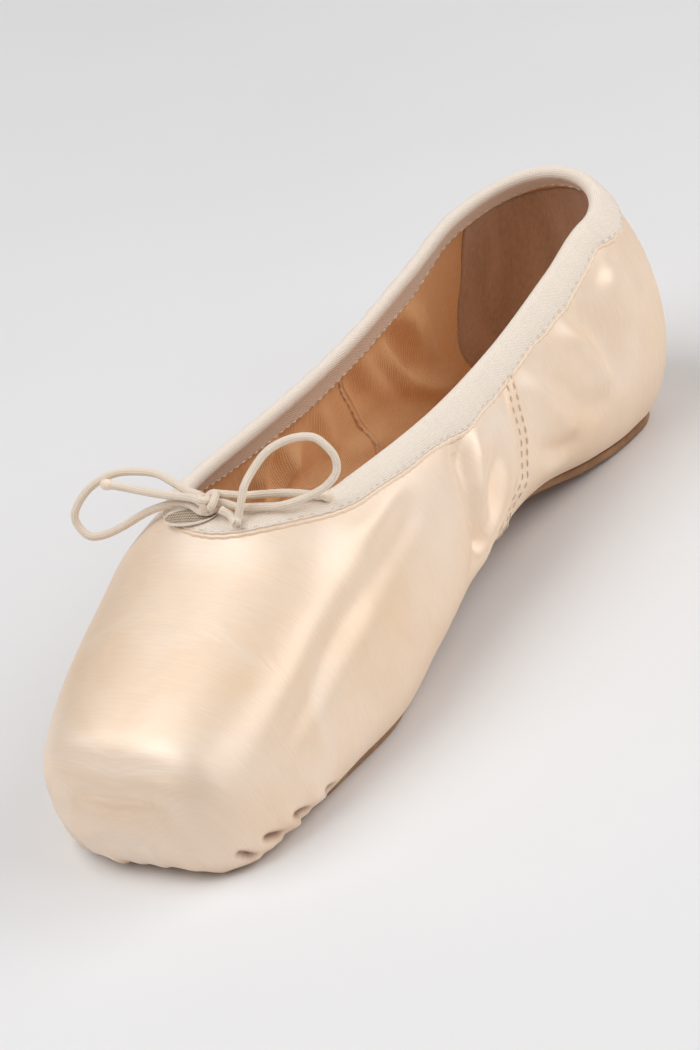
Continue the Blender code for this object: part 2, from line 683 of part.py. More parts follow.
def centre(shoe, everything):
    """Move all pieces sideways so that the origin lies under the middle of the shoe without its cord."""
    bpy.context.view_layer.update()
    corners = []
    for made in shoe:
        corners += [made.matrix_world @ Vector(corner) for corner in made.bound_box]
    middle = [(min(corner[axis] for corner in corners) + max(corner[axis] for corner in corners)) / 2
              for axis in (0, 1)]
    for made in everything:
        made.location.x -= middle[0]
        made.location.y -= middle[1]


def main():
    for made in list(bpy.data.objects):
        bpy.data.objects.remove(made, do_unlink=True)
    satin = material("satin", (0.83, 0.66, 0.50), 0.35)
    leather = material("sole leather", (0.48, 0.26, 0.16), 0.7)
    sock = material("insole sock", (0.62, 0.40, 0.24), 0.8)
    tape = material("cotton tape", (0.86, 0.78, 0.68), 0.75)
    cord = material("cotton cord", (0.84, 0.72, 0.58), 0.7)
    shoe = [make_outsole(leather), make_insole(sock), make_upper(satin), make_binding(tape), make_back_strip(satin)]
    cords = [make_knot(cord)]
    cords += [make_cord(name, route, cord) for name, route in (
        ("drawstring_loop_left", LOOP_LEFT), ("drawstring_loop_right", LOOP_RIGHT),
        ("drawstring_end_left", END_LEFT), ("drawstring_end_right", END_RIGHT))]
    centre(shoe, shoe + cords)


if __name__ == "__main__":
    main()
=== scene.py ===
"""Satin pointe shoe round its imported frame.

The toe points to -Y, the heel to +Y, the wearer's left is +X and the floor is z = 0. Every piece is a
surface over the same last: a place along it, a turn round its half section and a side.
"""
import math

import bmesh
import bpy
import numpy as np
from mathutils import Matrix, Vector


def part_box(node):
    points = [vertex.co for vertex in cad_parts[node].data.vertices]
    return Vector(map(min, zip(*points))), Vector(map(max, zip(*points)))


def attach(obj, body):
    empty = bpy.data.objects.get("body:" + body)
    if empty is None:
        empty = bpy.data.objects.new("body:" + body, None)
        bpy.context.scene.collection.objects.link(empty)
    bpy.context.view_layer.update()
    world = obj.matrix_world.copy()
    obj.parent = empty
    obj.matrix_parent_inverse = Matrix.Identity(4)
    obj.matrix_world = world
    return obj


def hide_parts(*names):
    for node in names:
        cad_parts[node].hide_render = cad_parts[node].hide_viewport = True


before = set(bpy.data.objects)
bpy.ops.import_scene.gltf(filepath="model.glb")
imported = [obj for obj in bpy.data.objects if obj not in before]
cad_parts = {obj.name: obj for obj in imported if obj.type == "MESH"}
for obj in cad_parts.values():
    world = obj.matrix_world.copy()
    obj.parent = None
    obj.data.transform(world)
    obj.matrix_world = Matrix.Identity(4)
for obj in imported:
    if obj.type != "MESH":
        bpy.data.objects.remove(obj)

bl_info = {
    "name": "Pointe Shoe",
    "version": (1, 0, 0),
    "blender": (4, 5, 0),
    "location": "View3D > Sidebar > Pointe shoe",
    "description": "Builds a satin pointe shoe with its binding, drawstring and leather sole",
    "category": "Add Mesh",
}

MM = 0.001

# The last, metres
LENGTH = 0.236
HEEL_AXIS = 0.875
THROAT = 0.0668 / LENGTH
CURVED_THROAT = 0.0248
ROUND_END = THROAT + CURVED_THROAT / LENGTH
TOE_EDGE = 0.0094
PLATFORM_DOME = 0.0008
ARCH_RISE = 0.0082
TOE_DROP = 0.0020
SIDE_CURVE = 0.0080
CURVE_START = 0.62
SOLE_THICKNESS = 0.0022
SOLE_FRONT_THICKNESS = 0.0014
SOLE_GAP = 0.0005
SOLE_FRONT = 0.0270 / LENGTH
SOLE_CORNER = 0.0150
SOLE_OVERHANG = 0.0015
SKIVE_LENGTH = 0.0100
LASTING_MARGIN = 0.0080
MARGIN_FRONT = SOLE_FRONT + 0.0100 / LENGTH
MARGIN_ROUND = 0.0140
BOX_WALL = 0.0030
QUARTER_WALL = 0.0016
BINDING_OUTSIDE = 0.0108
STRIP_HALF = 0.0090
HEEL_DEPTH = 0.0295
CORD_DIAMETER = 0.0019
KNOT_SIZE = (0.0062, 0.0052, 0.0064)
SATIN_THICKNESS = 0.0006
LINING_THICKNESS = 0.0004
WELD = 3e-6

# Studio lights: name, place, point looked at, size in metres, watts. The key falls from above on the left,
# the side light fills the shaded flank and the rim light rakes along it from behind
LIGHTS = (
    ("key_above", (-0.40, -0.50, 1.15), (0.0, 0.0, 0.03), (1.35, 1.05), 11.8),
    ("side_right", (0.95, 0.00, 0.60), (0.0, 0.0, 0.04), (0.45, 1.0), 2.4),
    ("rim_back", (0.80, 0.85, 0.85), (0.0, 0.03, 0.03), (1.1, 0.8), 7.5),
)
# Camera at the photograph's angle, a little rolled: its own Z points back along the view; millimetres of lens
CAMERA_PLACE = (0.7369, -0.8696, 0.5958)
CAMERA_BACK = (0.58087, -0.67985, 0.44765)
CAMERA_UP = (-0.05384, 0.49147, 0.86923)
SENSOR_WIDTH = 36.0
LENS = 184.0

# Ways in which a grid's quads close: a tube with both ends filled, and a ring closed on itself
TUBE = {"close_columns": True, "first_cap": True, "last_cap": True}
RING = {"close_rows": True, "close_columns": True}

# Sections: place, half width, widest level, ridge, half collar, flat share, roundness below and above
SECTIONS = np.array((
    (0.0, 0.022, 0.01932, 0.0322, 0.0, 0.45, 2.45, 2.6),
    (0.059441, 0.029396, 0.013202, 0.03696, 0.0, 0.79, 3.1, 2.5),
    (0.141525, 0.035072, 0.01456, 0.043624, 0.0, 0.77, 2.8, 2.4),
    (0.22361, 0.037824, 0.01736, 0.050288, 0.0, 0.77, 2.3, 2.3),
    (0.283051, 0.0392, 0.01848, 0.056, 0.0, 0.77, 2.2, 2.2),
    (0.388136, 0.036652, 0.018389, 0.058966, 0.021707, 0.71, 2.1, 2.2),
    (0.534195, 0.032466, 0.022365, 0.058589, 0.02285, 0.58, 2.0, 2.2),
    (0.66078, 0.0301, 0.02485, 0.059906, 0.022164, 0.49, 1.9, 2.2),
    (0.792233, 0.03, 0.02464, 0.064379, 0.02125, 0.63, 1.85, 2.2),
    (0.875, 0.03, 0.026488, 0.0674, 0.020565, 0.66, 1.8, 2.2),
))
BACK = np.array((1.0, 0.0295, 0.0308, 0.071485, 0.0213, 0.52, 1.62, 2.3))
# Place, share of the arch's rise, share of the toe's drop
SOLE_LINE = np.array((
    (0.0, 0.0, 0.9), (0.05, 0.0, 1.0), (0.09, 0.0, 0.65), (0.115, 0.0, 0.3), (0.15, 0.0, 0.0), (0.30, 0.0, 0.0),
    (0.40, 0.38, 0.0), (0.50, 0.86, 0.0), (0.58, 1.0, 0.0), (0.68, 0.8, 0.0), (0.78, 0.25, 0.0),
    (0.85, 0.0, 0.0), (1.0, 0.0, 0.0),
))
WALL_LINE = np.array(((0.0, 1.0), (0.16, 1.0), (0.26, 0.45), (0.40, 0.0), (1.0, 0.0)))

# Folds of the satin: side, width and rise in millimetres, then millimetres from the toe and turn
FOLDS = (
    (1, 4.2, -1.4, ((86, 1.34), (77, 1.34), (54, 1.33), (38, 1.27), (24, 1.22), (12, 1.17))),
    (1, 4.0, -0.8, ((106, 1.37), (96, 1.36), (82, 1.34), (70, 1.34))),
    (1, 3.6, 0.8, ((108, 1.46), (98, 1.47), (88, 1.45), (74, 1.47))),
    (1, 2.6, -1.9, ((131, 1.43), (127, 1.37), (123, 1.28), (120, 1.15), (118, 1.00), (117, 0.85))),
    (1, 2.6, 1.3, ((136, 1.40), (131, 1.29), (127, 1.17), (123, 1.02), (120, 0.90))),
    (1, 2.6, -1.7, ((143, 1.32), (137, 1.21), (130, 1.12), (122, 1.02), (114, 0.86), (106, 0.74))),
    (1, 3.2, 1.5, ((145, 1.16), (137, 1.05), (129, 0.94), (119, 0.82), (110, 0.70))),
    (1, 3.0, -1.4, ((144, 0.95), (136, 0.85), (127, 0.74), (118, 0.64))),
    (1, 5.0, -2.4, ((183, 1.44), (187, 1.32), (191, 1.19), (191, 1.04), (187, 0.90))),
    (1, 3.4, 1.4, ((176, 1.40), (180, 1.30), (184, 1.18), (188, 1.04), (196, 0.92))),
    (1, 3.8, 0.9, ((199, 1.38), (202, 1.24), (201, 1.08))),
    (1, 3.2, -1.1, ((160, 1.42), (166, 1.28), (171, 1.12), (178, 0.98), (190, 0.88))),
    (1, 3.4, 1.0, ((157, 1.38), (161, 1.22), (166, 1.05), (174, 0.88))),
    (1, 3.0, -1.2, ((151, 1.14), (156, 0.97), (163, 0.82), (174, 0.70))),
    (1, 3.2, 0.9, ((151, 0.92), (157, 0.77), (169, 0.64))),
    (1, 3.2, -0.9, ((207, 1.42), (209, 1.30), (210, 1.16))),
    (-1, 3.8, -1.1, ((90, 1.36), (72, 1.33), (50, 1.30), (34, 1.25), (16, 1.18))),
    (-1, 3.4, 0.7, ((106, 1.44), (96, 1.46), (84, 1.47))),
    (-1, 2.7, -1.6, ((131, 1.43), (127, 1.35), (123, 1.24), (120, 1.08), (117, 0.92))),
    (-1, 2.8, 1.2, ((136, 1.38), (131, 1.27), (127, 1.12), (122, 0.98))),
    (-1, 2.9, -1.5, ((143, 1.24), (134, 1.12), (124, 0.99), (112, 0.84))),
    (-1, 3.2, 1.3, ((145, 1.08), (136, 0.97), (124, 0.84), (112, 0.70))),
    (-1, 4.4, -1.7, ((182, 1.42), (187, 1.28), (191, 1.12), (190, 0.94))),
    (-1, 3.4, 1.1, ((176, 1.38), (180, 1.24), (184, 1.10), (190, 0.96))),
    (-1, 3.2, -1.0, ((160, 1.40), (166, 1.26), (171, 1.10), (180, 0.94))),
    (-1, 3.4, 0.9, ((157, 1.36), (162, 1.20), (167, 1.02))),
    (-1, 3.2, -1.0, ((149, 0.86), (159, 0.73), (172, 0.64))),
    (-1, 9.0, -2.0, ((0.5, 0.75), (4, 0.45), (14, 0.30))),
)
# Slits between the pleats beside the toe, deep and narrow, and the puffs between them
SLITS = (
    (1, 0.8, -1.5, ((7.0, 0.64), (9.5, 0.57), (12.5, 0.46))),
    (1, 0.8, -1.5, ((13.0, 0.70), (16.5, 0.63), (21.0, 0.52))),
    (1, 0.8, -1.5, ((22.0, 0.70), (25.5, 0.62), (30.0, 0.50))),
    (1, 0.8, -1.3, ((33.5, 0.62), (36.5, 0.54), (40.0, 0.42))),
    (-1, 0.8, -1.2, ((12.0, 0.66), (16.0, 0.58), (20.0, 0.46))),
    (-1, 0.8, -1.3, ((22.0, 0.66), (26.0, 0.58), (31.0, 0.46))),
    (-1, 0.8, -1.1, ((34.0, 0.60), (37.5, 0.50), (41.0, 0.40))),
)
PUFFS = (
    (1, 1.7, 0.8, ((10.0, 0.70), (14.0, 0.58), (19.0, 0.42))),
    (1, 1.9, 0.9, ((18.0, 0.74), (22.0, 0.63), (27.0, 0.46))),
    (1, 1.9, 0.8, ((28.0, 0.70), (32.0, 0.60), (37.0, 0.44))),
    (-1, 1.8, 0.7, ((17.0, 0.70), (21.0, 0.60), (26.0, 0.46))),
    (-1, 1.8, 0.7, ((27.5, 0.68), (31.5, 0.58), (36.0, 0.44))),
)

# Side seam's folded edge on either side, and the front edge of the patch inside the heel
SIDE_SEAM = ((155.0, 1.46), (152.3, 1.336), (149.9, 1.255), (147.9, 1.144), (144.8, 1.057), (140.1, 0.889),
             (137.1, 0.771), (134.4, 0.60), (132.6, 0.42), (131.8, 0.27))
LINING_SEAM = ((156.5, 1.36), (157.0, 1.255), (160.7, 1.082), (162.7, 0.846), (161.5, 0.60), (158.5, 0.36))
PATCH_EDGE = ((212.4, 1.46), (211.7, 1.249), (210.7, 1.137), (208.4, 1.02), (206.6, 0.821), (207.6, 0.604),
              (210.0, 0.38))
# Folds of the lining, in the same way as the satin's
LINING_FOLDS = (
    (-1, 2.3, 3.2, ((171, 1.36), (175, 1.25), (180, 1.09), (184.3, 0.951), (189.4, 0.81), (195, 0.70), (203, 0.62))),
    (-1, 1.5, 1.5, ((193, 1.30), (195, 1.12), (196, 0.98), (198, 0.88))),
    (-1, 1.6, 1.3, ((186, 1.34), (188, 1.22), (190, 1.10))),
    (-1, 2.2, 1.6, ((128, 1.36), (131, 1.24), (134, 1.10), (134, 0.95))),
    (-1, 2.4, 1.3, ((143, 1.36), (147, 1.22), (149, 1.05), (149, 0.85))),
    (-1, 2.0, 1.1, ((115, 1.36), (119, 1.24), (122, 1.08))),
    (1, 3.0, 0.9, ((172, 1.30), (178, 1.10), (185, 0.94), (194, 0.80))),
    (1, 2.4, -0.6, ((150, 1.34), (152, 1.15), (156, 0.95))),
    (1, 2.0, 0.7, ((126, 1.34), (130, 1.16), (133, 0.98))),
)

# Drawstring from the knot's centre, millimetres: left is -X, forward is -Y
LOOP_LEFT = (
    (-3.5, 1.9, 0.4), (-9, 3.5, 0.5), (-13.5, 4.5, 2), (-18, 5.5, 3), (-23.5, 5, 3.5), (-28.5, 3.5, 3.5),
    (-33, 1, 2), (-36, -1.5, -0.5), (-38, -3.5, -4), (-37.5, -4, -7), (-35, -4, -9.5), (-32, -2, -10),
    (-27.5, 0, -8.5), (-23, 2.5, -6.5), (-18, 3, -4.5), (-11.5, 2.5, -2.5), (-6.5, 1, -2), (-3.3, -0.5, -2.2),
)
END_LEFT = ((-3.6, -0.8, 1.2), (-7, 0.5, 0.5), (-14, 1.5, 0), (-20, 1.5, 0.5), (-25, 1, 1.5), (-28.5, 0, 2.5))
LOOP_RIGHT = (
    (3.6, -1, -1.1), (6, -1, -2.5), (8.5, -3, -3.5), (8, -1, -3), (9, 0.5, 0.5), (9.5, 2.5, 3.5),
    (10.5, 6, 6), (12.5, 9.5, 8.5), (15, 12.5, 9.5), (18.5, 14.5, 10), (21.5, 16.5, 9), (24, 17, 6.5),
    (25.5, 17, 3.5), (25.5, 16, 0.5), (24, 14, -1.5), (22, 11.5, -2.5), (19, 8.5, -3), (15.5, 5.5, -3),
    (10.5, 3.5, -2.5), (6.5, 2, -2), (3.4, 1.6, -1),
)
END_RIGHT = ((1.8, 2.9, 0.6), (6, 5.5, -1), (10, 7.5, -1.5), (14.5, 10, -2.3), (18.2, 12.2, -3.6),
             (20.5, 14, -5), (21.5, 15, -5.5))
TURN_LEFT = ((-1.6, -1.2, -1.9), (-0.2, -1.6, -0.4), (-1.6, -1.4, 1.0))
TURN_RIGHT = ((1.4, 1.0, -0.3), (-0.2, 0.6, 0.6), (-0.1, 1.8, 1.2))


# ---------------------------------------------------------------- the last


def smooth_row(places, values, at):
    """Monotone cubic through a table: level where neighbours are equal, with harmonic-mean slopes between."""
    step = np.diff(places)
    slope = np.diff(values) / step
    early, late = 2 * step[1:] + step[:-1], step[1:] + 2 * step[:-1]
    with np.errstate(divide="ignore", invalid="ignore"):
        inner = np.where(slope[:-1] * slope[1:] > 0, (early + late) / (early / slope[:-1] + late / slope[1:]), 0.0)
    tangent = np.concatenate([[slope[0]], inner, [0.0]])
    row = np.clip(np.searchsorted(places, at, side="right") - 1, 0, len(places) - 2)
    t = np.clip((at - places[row]) / step[row], 0.0, 1.0)
    return ((1 + 2 * t) * (1 - t) ** 2 * values[row] + t * (1 - t) ** 2 * step[row] * tangent[row]
            + t * t * (3 - 2 * t) * values[row + 1] + t * t * (t - 1) * step[row] * tangent[row + 1])


def ease(share):
    """Smooth step from 0 to 1."""
    share = np.clip(share, 0.0, 1.0)
    return share * share * (3 - 2 * share)


def last_sizes(place):
    """Sizes of the section at each place; behind the heel's axis the section turns round it."""
    place = np.asarray(place, float)
    along = np.clip(place, 0.0, HEEL_AXIS)
    columns = [smooth_row(SECTIONS[:, 0], SECTIONS[:, column], along) for column in range(1, 8)]
    lead = np.clip((ROUND_END - along) / (ROUND_END - THROAT), 0.0, 1.0)
    columns[3] = np.where(along < ROUND_END, SECTIONS[5, 4] * np.sqrt(1 - lead ** 2), columns[3])
    swing = np.clip((place - HEEL_AXIS) / (1 - HEEL_AXIS), 0.0, 1.0) * math.pi / 2
    turned = np.sin(swing) ** 2
    for column in range(1, 7):
        columns[column] = columns[column] + turned * (BACK[column + 1] - columns[column])
    half = 1 / np.sqrt(np.cos(swing) ** 2 / columns[0] ** 2 + turned / BACK[1] ** 2)
    rise = ARCH_RISE * smooth_row(SOLE_LINE[:, 0], SOLE_LINE[:, 1], place)
    drop = TOE_DROP * smooth_row(SOLE_LINE[:, 0], SOLE_LINE[:, 2], place)
    return {
        "half": half, "level": columns[1], "ridge": columns[2], "collar": columns[3], "flat": columns[4] * half,
        "low": columns[5], "high": columns[6], "swing": swing,
        "bottom": rise - drop + SOLE_THICKNESS + SOLE_GAP, "y": along * LENGTH - LENGTH / 2,
    }


def quarter(turn, roundness):
    """Sine and cosine of a quarter of a superellipse."""
    sine, cosine = np.abs(np.sin(turn * math.pi / 2)), np.abs(np.cos(turn * math.pi / 2))
    reach = (sine ** roundness + cosine ** roundness) ** (-1 / roundness)
    return sine * reach, cosine * reach


def place_point(sizes, side, across, z):
    """Point across from the middle line or out from the heel's axis, moved by the last's sideways curve,
    which is the square of the distance ahead of the waist, and by the frame's own centring."""
    x = side * across * np.cos(sizes["swing"])
    y = sizes["y"] + across * np.sin(sizes["swing"])
    waist = CURVE_START * LENGTH
    ahead = np.maximum(waist - LENGTH / 2 - y, 0.0) / waist
    return np.stack(np.broadcast_arrays(x + SIDE_CURVE * ahead ** 2, y, z), axis=-1) + CENTRE


def last_point(place, turn, side, inset=0.0, sink=0.0):
    """Point of the upper's outer face: two quarters of superellipses above a flat, for turns from -1 in the
    middle of the underside, by 0 at the flat's edge and 1 at the widest level, to 2 on the ridge."""
    place, turn, side = np.broadcast_arrays(place, turn, side)
    sizes = last_sizes(place)
    half = sizes["half"] - inset
    flat = np.minimum(sizes["flat"], half - inset * 0.5 - 0.0003)
    sine_low, cosine_low = quarter(np.clip(turn, 0.0, 1.0), sizes["low"])
    sine_high, cosine_high = quarter(np.clip(turn - 1.0, 0.0, 1.0), sizes["high"])
    lower = flat + sine_low * (half - flat)
    across = np.where(turn < 0, flat * (1 + turn), np.where(turn < 1, lower, half * cosine_high))
    below = sizes["level"] - (sizes["level"] - sizes["bottom"] - inset) * cosine_low
    above = sizes["level"] + (sizes["ridge"] - sizes["level"] - inset) * sine_high
    sizes["y"] = sizes["y"] + sink
    return place_point(sizes, side, across, np.where(turn < 1, below, above))


def tangents(place, turn, side):
    """Derivatives of the outer face along the last and round the section, by central differences."""
    step = 1e-4
    early, late = np.clip(place - step, 0, 1), np.clip(place + step, 0, 1)
    along = (last_point(late, turn, side) - last_point(early, turn, side)) / (late - early)[..., None]
    low, high = np.clip(turn - step, -1, 2), np.clip(turn + step, -1, 2)
    around = (last_point(place, high, side) - last_point(place, low, side)) / (high - low)[..., None]
    return along, around


def unit(vectors):
    """Vectors divided by their lengths."""
    return vectors / np.maximum(np.linalg.norm(vectors, axis=-1, keepdims=True), 1e-12)


def normals(place, turn, side):
    """Outward unit normals of the outer face: the cross product of its tangents."""
    place, turn, side = np.broadcast_arrays(np.asarray(place, float), turn, side)
    along, around = tangents(place, turn, side)
    return unit(np.cross(along, around) * side[..., None])


def skin_point(place, turn, side, out):
    """Point at a height over the outer face, negative for the inside."""
    return last_point(place, turn, side) + normals(place, turn, side) * np.asarray(out)[..., None]


def wall(place):
    """Thickness of the upper's wall, stiff box in front and soft quarters behind."""
    return QUARTER_WALL + (BOX_WALL - QUARTER_WALL) * smooth_row(WALL_LINE[:, 0], WALL_LINE[:, 1], place)


def turn_at(sizes, across):
    """Turn below the widest level at which the section reaches a distance from the middle."""
    reach = np.clip((across - sizes["flat"]) / (sizes["half"] - sizes["flat"]), 0.0, 1.0)
    rest = (1 - reach ** sizes["low"]) ** (1 / sizes["low"])
    return np.where(across < sizes["flat"], across / sizes["flat"] - 1, np.arctan2(reach, rest) * 2 / math.pi)


def collar_turn(place):
    """Turn at which the section meets the collar's edge."""
    sizes = last_sizes(place)
    reach = np.clip(sizes["collar"] / sizes["half"], 0.0, 1.0)
    return 1 + np.arctan2((1 - reach ** sizes["high"]) ** (1 / sizes["high"]), reach) * 2 / math.pi


def margin_half(sizes, place):
    """Half width of the opening that the lasted margin leaves underneath, with a round front."""
    lead = np.clip(1 - (place - MARGIN_FRONT) * LENGTH / MARGIN_ROUND, 0.0, 1.0)
    return np.where(place > MARGIN_FRONT, (sizes["flat"] - LASTING_MARGIN) * np.sqrt(1 - lead ** 2), 0.0)


def march(place, turn, side, direction, distance, steps=6):
    """Place and turn reached by walking a distance over the face in a direction, in small straight steps."""
    place, turn, direction = place.copy(), turn.copy(), direction.copy()
    for _ in range(steps):
        along, around = tangents(place, turn, side)
        aa, ab, bb = (along * along).sum(-1), (along * around).sum(-1), (around * around).sum(-1)
        step = direction * (np.asarray(distance) / steps)[..., None]
        da, db = (along * step).sum(-1), (around * step).sum(-1)
        base = aa * bb - ab * ab
        place = np.clip(place + (da * bb - db * ab) / base, 0, 1)
        turn = np.clip(turn + (db * aa - da * ab) / base, -1, 2)
        normal = normals(place, turn, side)
        direction = unit(direction - normal * (direction * normal).sum(-1)[..., None])
    return place, turn


def round_rows(start, length, steps):
    """Places that divide a round end of the given length into equal turns."""
    return start + (1 - np.cos(np.linspace(0, math.pi / 2, steps + 1))) * length / LENGTH


def collar_stations(front, middle, heel):
    """Places, sides and turns round the collar's edge, from the throat by +X to the back and home."""
    half = np.concatenate([
        round_rows(THROAT, CURVED_THROAT, front), np.linspace(ROUND_END, HEEL_AXIS, middle + 1)[1:],
        np.linspace(HEEL_AXIS, 1.0, heel + 1)[1:]])
    place = np.concatenate([half, half[-2:0:-1]])
    side = np.concatenate([np.ones(len(half)), -np.ones(len(half) - 2)])
    return place, collar_turn(place), side


def downward(place, turn, side):
    """Unit direction on the face that leads away from the collar's edge, square to it."""
    edge = last_point(place, turn, side)
    run = unit(np.roll(edge, -1, axis=0) - np.roll(edge, 1, axis=0))
    return unit(np.cross(run, normals(place, turn, side)))


def find_centre():
    """Offset between the last's own axes and the frame's: the middle of the widest places of both."""
    place, turn = np.meshgrid(np.linspace(0, 1, 400), np.linspace(0.6, 1.4, 60), indexing="ij")
    both = np.concatenate([last_point(place, turn, np.full_like(place, side)).reshape(-1, 3) for side in (1, -1)])
    low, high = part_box("upper")
    middle = (both[:, 0].min() + both[:, 0].max()) / 2
    return np.array([(low.x + high.x) / 2 - middle, high.y - LENGTH / 2, 0.0])


CENTRE = np.zeros(3)
CENTRE = find_centre()


# ---------------------------------------------------------------- meshes


def settle(name, mesh, surface, weld):
    """Object from a mesh: doubles merged, shaded smooth, with its material."""
    if weld:
        work = bmesh.new()
        work.from_mesh(mesh)
        bmesh.ops.remove_doubles(work, verts=work.verts, dist=weld)
        bmesh.ops.dissolve_degenerate(work, edges=work.edges, dist=1e-7)
        work.to_mesh(mesh)
        work.free()
    mesh.shade_smooth()
    made = bpy.data.objects.new(name, mesh)
    bpy.context.scene.collection.objects.link(made)
    for one in surface if isinstance(surface, (list, tuple)) else [surface]:
        mesh.materials.append(one)
    return made


def grid_quads(rows, columns, start=0, flip=False, close_rows=False, close_columns=False):
    """Quads that join neighbours in a grid of points numbered row by row, as one array."""
    row, column = np.meshgrid(np.arange(rows if close_rows else rows - 1),
                              np.arange(columns if close_columns else columns - 1), indexing="ij")
    after, beside = (row + 1) % rows, (column + 1) % columns
    quads = np.stack([row * columns + column, after * columns + column, after * columns + beside,
                      row * columns + beside], axis=-1).reshape(-1, 4) + start
    return quads[:, ::-1] if flip else quads


def grid_object(name, grids, surface, weld=WELD, marks=None):
    """Object of one or more grids. A grid is points, its map in centimetres, and the ways its quads close:
    flip, close_rows, close_columns, first_cap, last_cap."""
    points, maps, quads, caps, start, values = [], [], [], [], 0, []
    for grid in grids:
        spots, chart, ways = grid[0], grid[1], dict(grid[2])
        ends = {key: ways.pop(key, False) for key in ("first_cap", "last_cap")}
        mark = ways.pop("mark", None)
        rows, columns = spots.shape[:2]
        points.append(spots.reshape(-1, 3))
        maps.append(chart.reshape(-1, 2))
        values.append(np.zeros(rows * columns) if mark is None else mark.reshape(-1))
        quads.append(grid_quads(rows, columns, start, **ways))
        first = list(range(start, start + columns))
        last = list(range(start + (rows - 1) * columns, start + rows * columns))
        if ends["first_cap"]:
            caps.append(first if not ways.get("flip") else first[::-1])
        if ends["last_cap"]:
            caps.append(last[::-1] if not ways.get("flip") else last)
        start += rows * columns
    points, maps, values = np.concatenate(points), np.concatenate(maps), np.concatenate(values)
    mesh = bpy.data.meshes.new(name)
    mesh.from_pydata(points.tolist(), [], np.concatenate(quads).tolist() + caps)
    layer = mesh.uv_layers.new(name="UVMap")
    loops = np.zeros(len(mesh.loops), np.int32)
    mesh.loops.foreach_get("vertex_index", loops)
    layer.data.foreach_set("uv", maps[loops].astype(np.float32).ravel())
    if marks:
        mesh.attributes.new(marks, "FLOAT", "POINT").data.foreach_set("value", values.astype(np.float32))
    return settle(name, mesh, surface, weld)


def turn_outward(made):
    """Faces of a closed mesh turned outward."""
    work = bmesh.new()
    work.from_mesh(made.data)
    bmesh.ops.recalc_face_normals(work, faces=work.faces)
    if work.calc_volume(signed=True) < 0:
        bmesh.ops.reverse_faces(work, faces=work.faces)
    work.to_mesh(made.data)
    work.free()
    return made


def arc_lengths(points):
    """Running length along the first axis of an array of points."""
    steps = np.linalg.norm(np.diff(points, axis=0), axis=-1)
    return np.concatenate([np.zeros((1,) + steps.shape[1:]), np.cumsum(steps, axis=0)])


def smooth_path(points, spacing):
    """Points at an even spacing along a curve through the given ones (Catmull-Rom)."""
    points = np.asarray(points, float)
    ends = np.vstack([2 * points[0] - points[1], points, 2 * points[-1] - points[-2]])
    t = np.linspace(0, 1, 17)[:-1][None, :, None]
    a, b, c, d = (ends[k:len(ends) - 3 + k][:, None] for k in range(4))
    fine = 0.5 * (2 * b + t * (c - a) + t * t * (2 * a - 5 * b + 4 * c - d) + t ** 3 * (3 * b - a - 3 * c + d))
    fine = np.vstack([fine.reshape(-1, points.shape[1]), points[-1:]])
    length = arc_lengths(fine)
    count = max(2, round(length[-1] / spacing))
    at = np.linspace(0, length[-1], count + 1)
    return np.stack([np.interp(at, length, fine[:, axis]) for axis in range(points.shape[1])], axis=1)


def tube_frames(path, closed=False):
    """Unit tangents and two square directions carried along a path without twist."""
    if closed:
        tangent = unit(np.roll(path, -1, axis=0) - np.roll(path, 1, axis=0))
    else:
        tangent = unit(np.gradient(path, axis=0))
    first = np.cross(tangent[0], (0.3, 0.2, 0.9))
    carried = [first / np.linalg.norm(first)]
    for direction in tangent[1:]:
        moved = carried[-1] - direction * (carried[-1] @ direction)
        carried.append(moved / np.linalg.norm(moved))
    side = np.array(carried)
    return tangent, side, np.cross(tangent, side)


def tube_grid(path, radius, sides=10, closed=False):
    """Grid and map of a round tube: the path's point plus the radius times the cosine and sine directions."""
    tangent, across, up = tube_frames(path, closed)
    angle = np.linspace(0, 2 * math.pi, sides, endpoint=False)
    radius = np.broadcast_to(radius, (len(path),))[:, None, None]
    ring = across[:, None] * np.cos(angle)[None, :, None] + up[:, None] * np.sin(angle)[None, :, None]
    length = arc_lengths(path)
    chart = np.stack(np.broadcast_arrays(angle[None] / (2 * math.pi) * 0.6, length[:, None] * 100), axis=-1)
    return path[:, None] + ring * radius, chart


def strip_grid(base, up, across, profile):
    """Grid of a closed profile carried along a path: offsets across and up, in metres, from each base point."""
    points = base[:, None] + across[:, None] * profile[None, :, :1] + up[:, None] * profile[None, :, 1:]
    length = arc_lengths(base)
    run = np.linspace(0, 1, len(profile)) * 0.8
    return points, np.stack(np.broadcast_arrays(run[None], length[:, None] * 100), axis=-1)


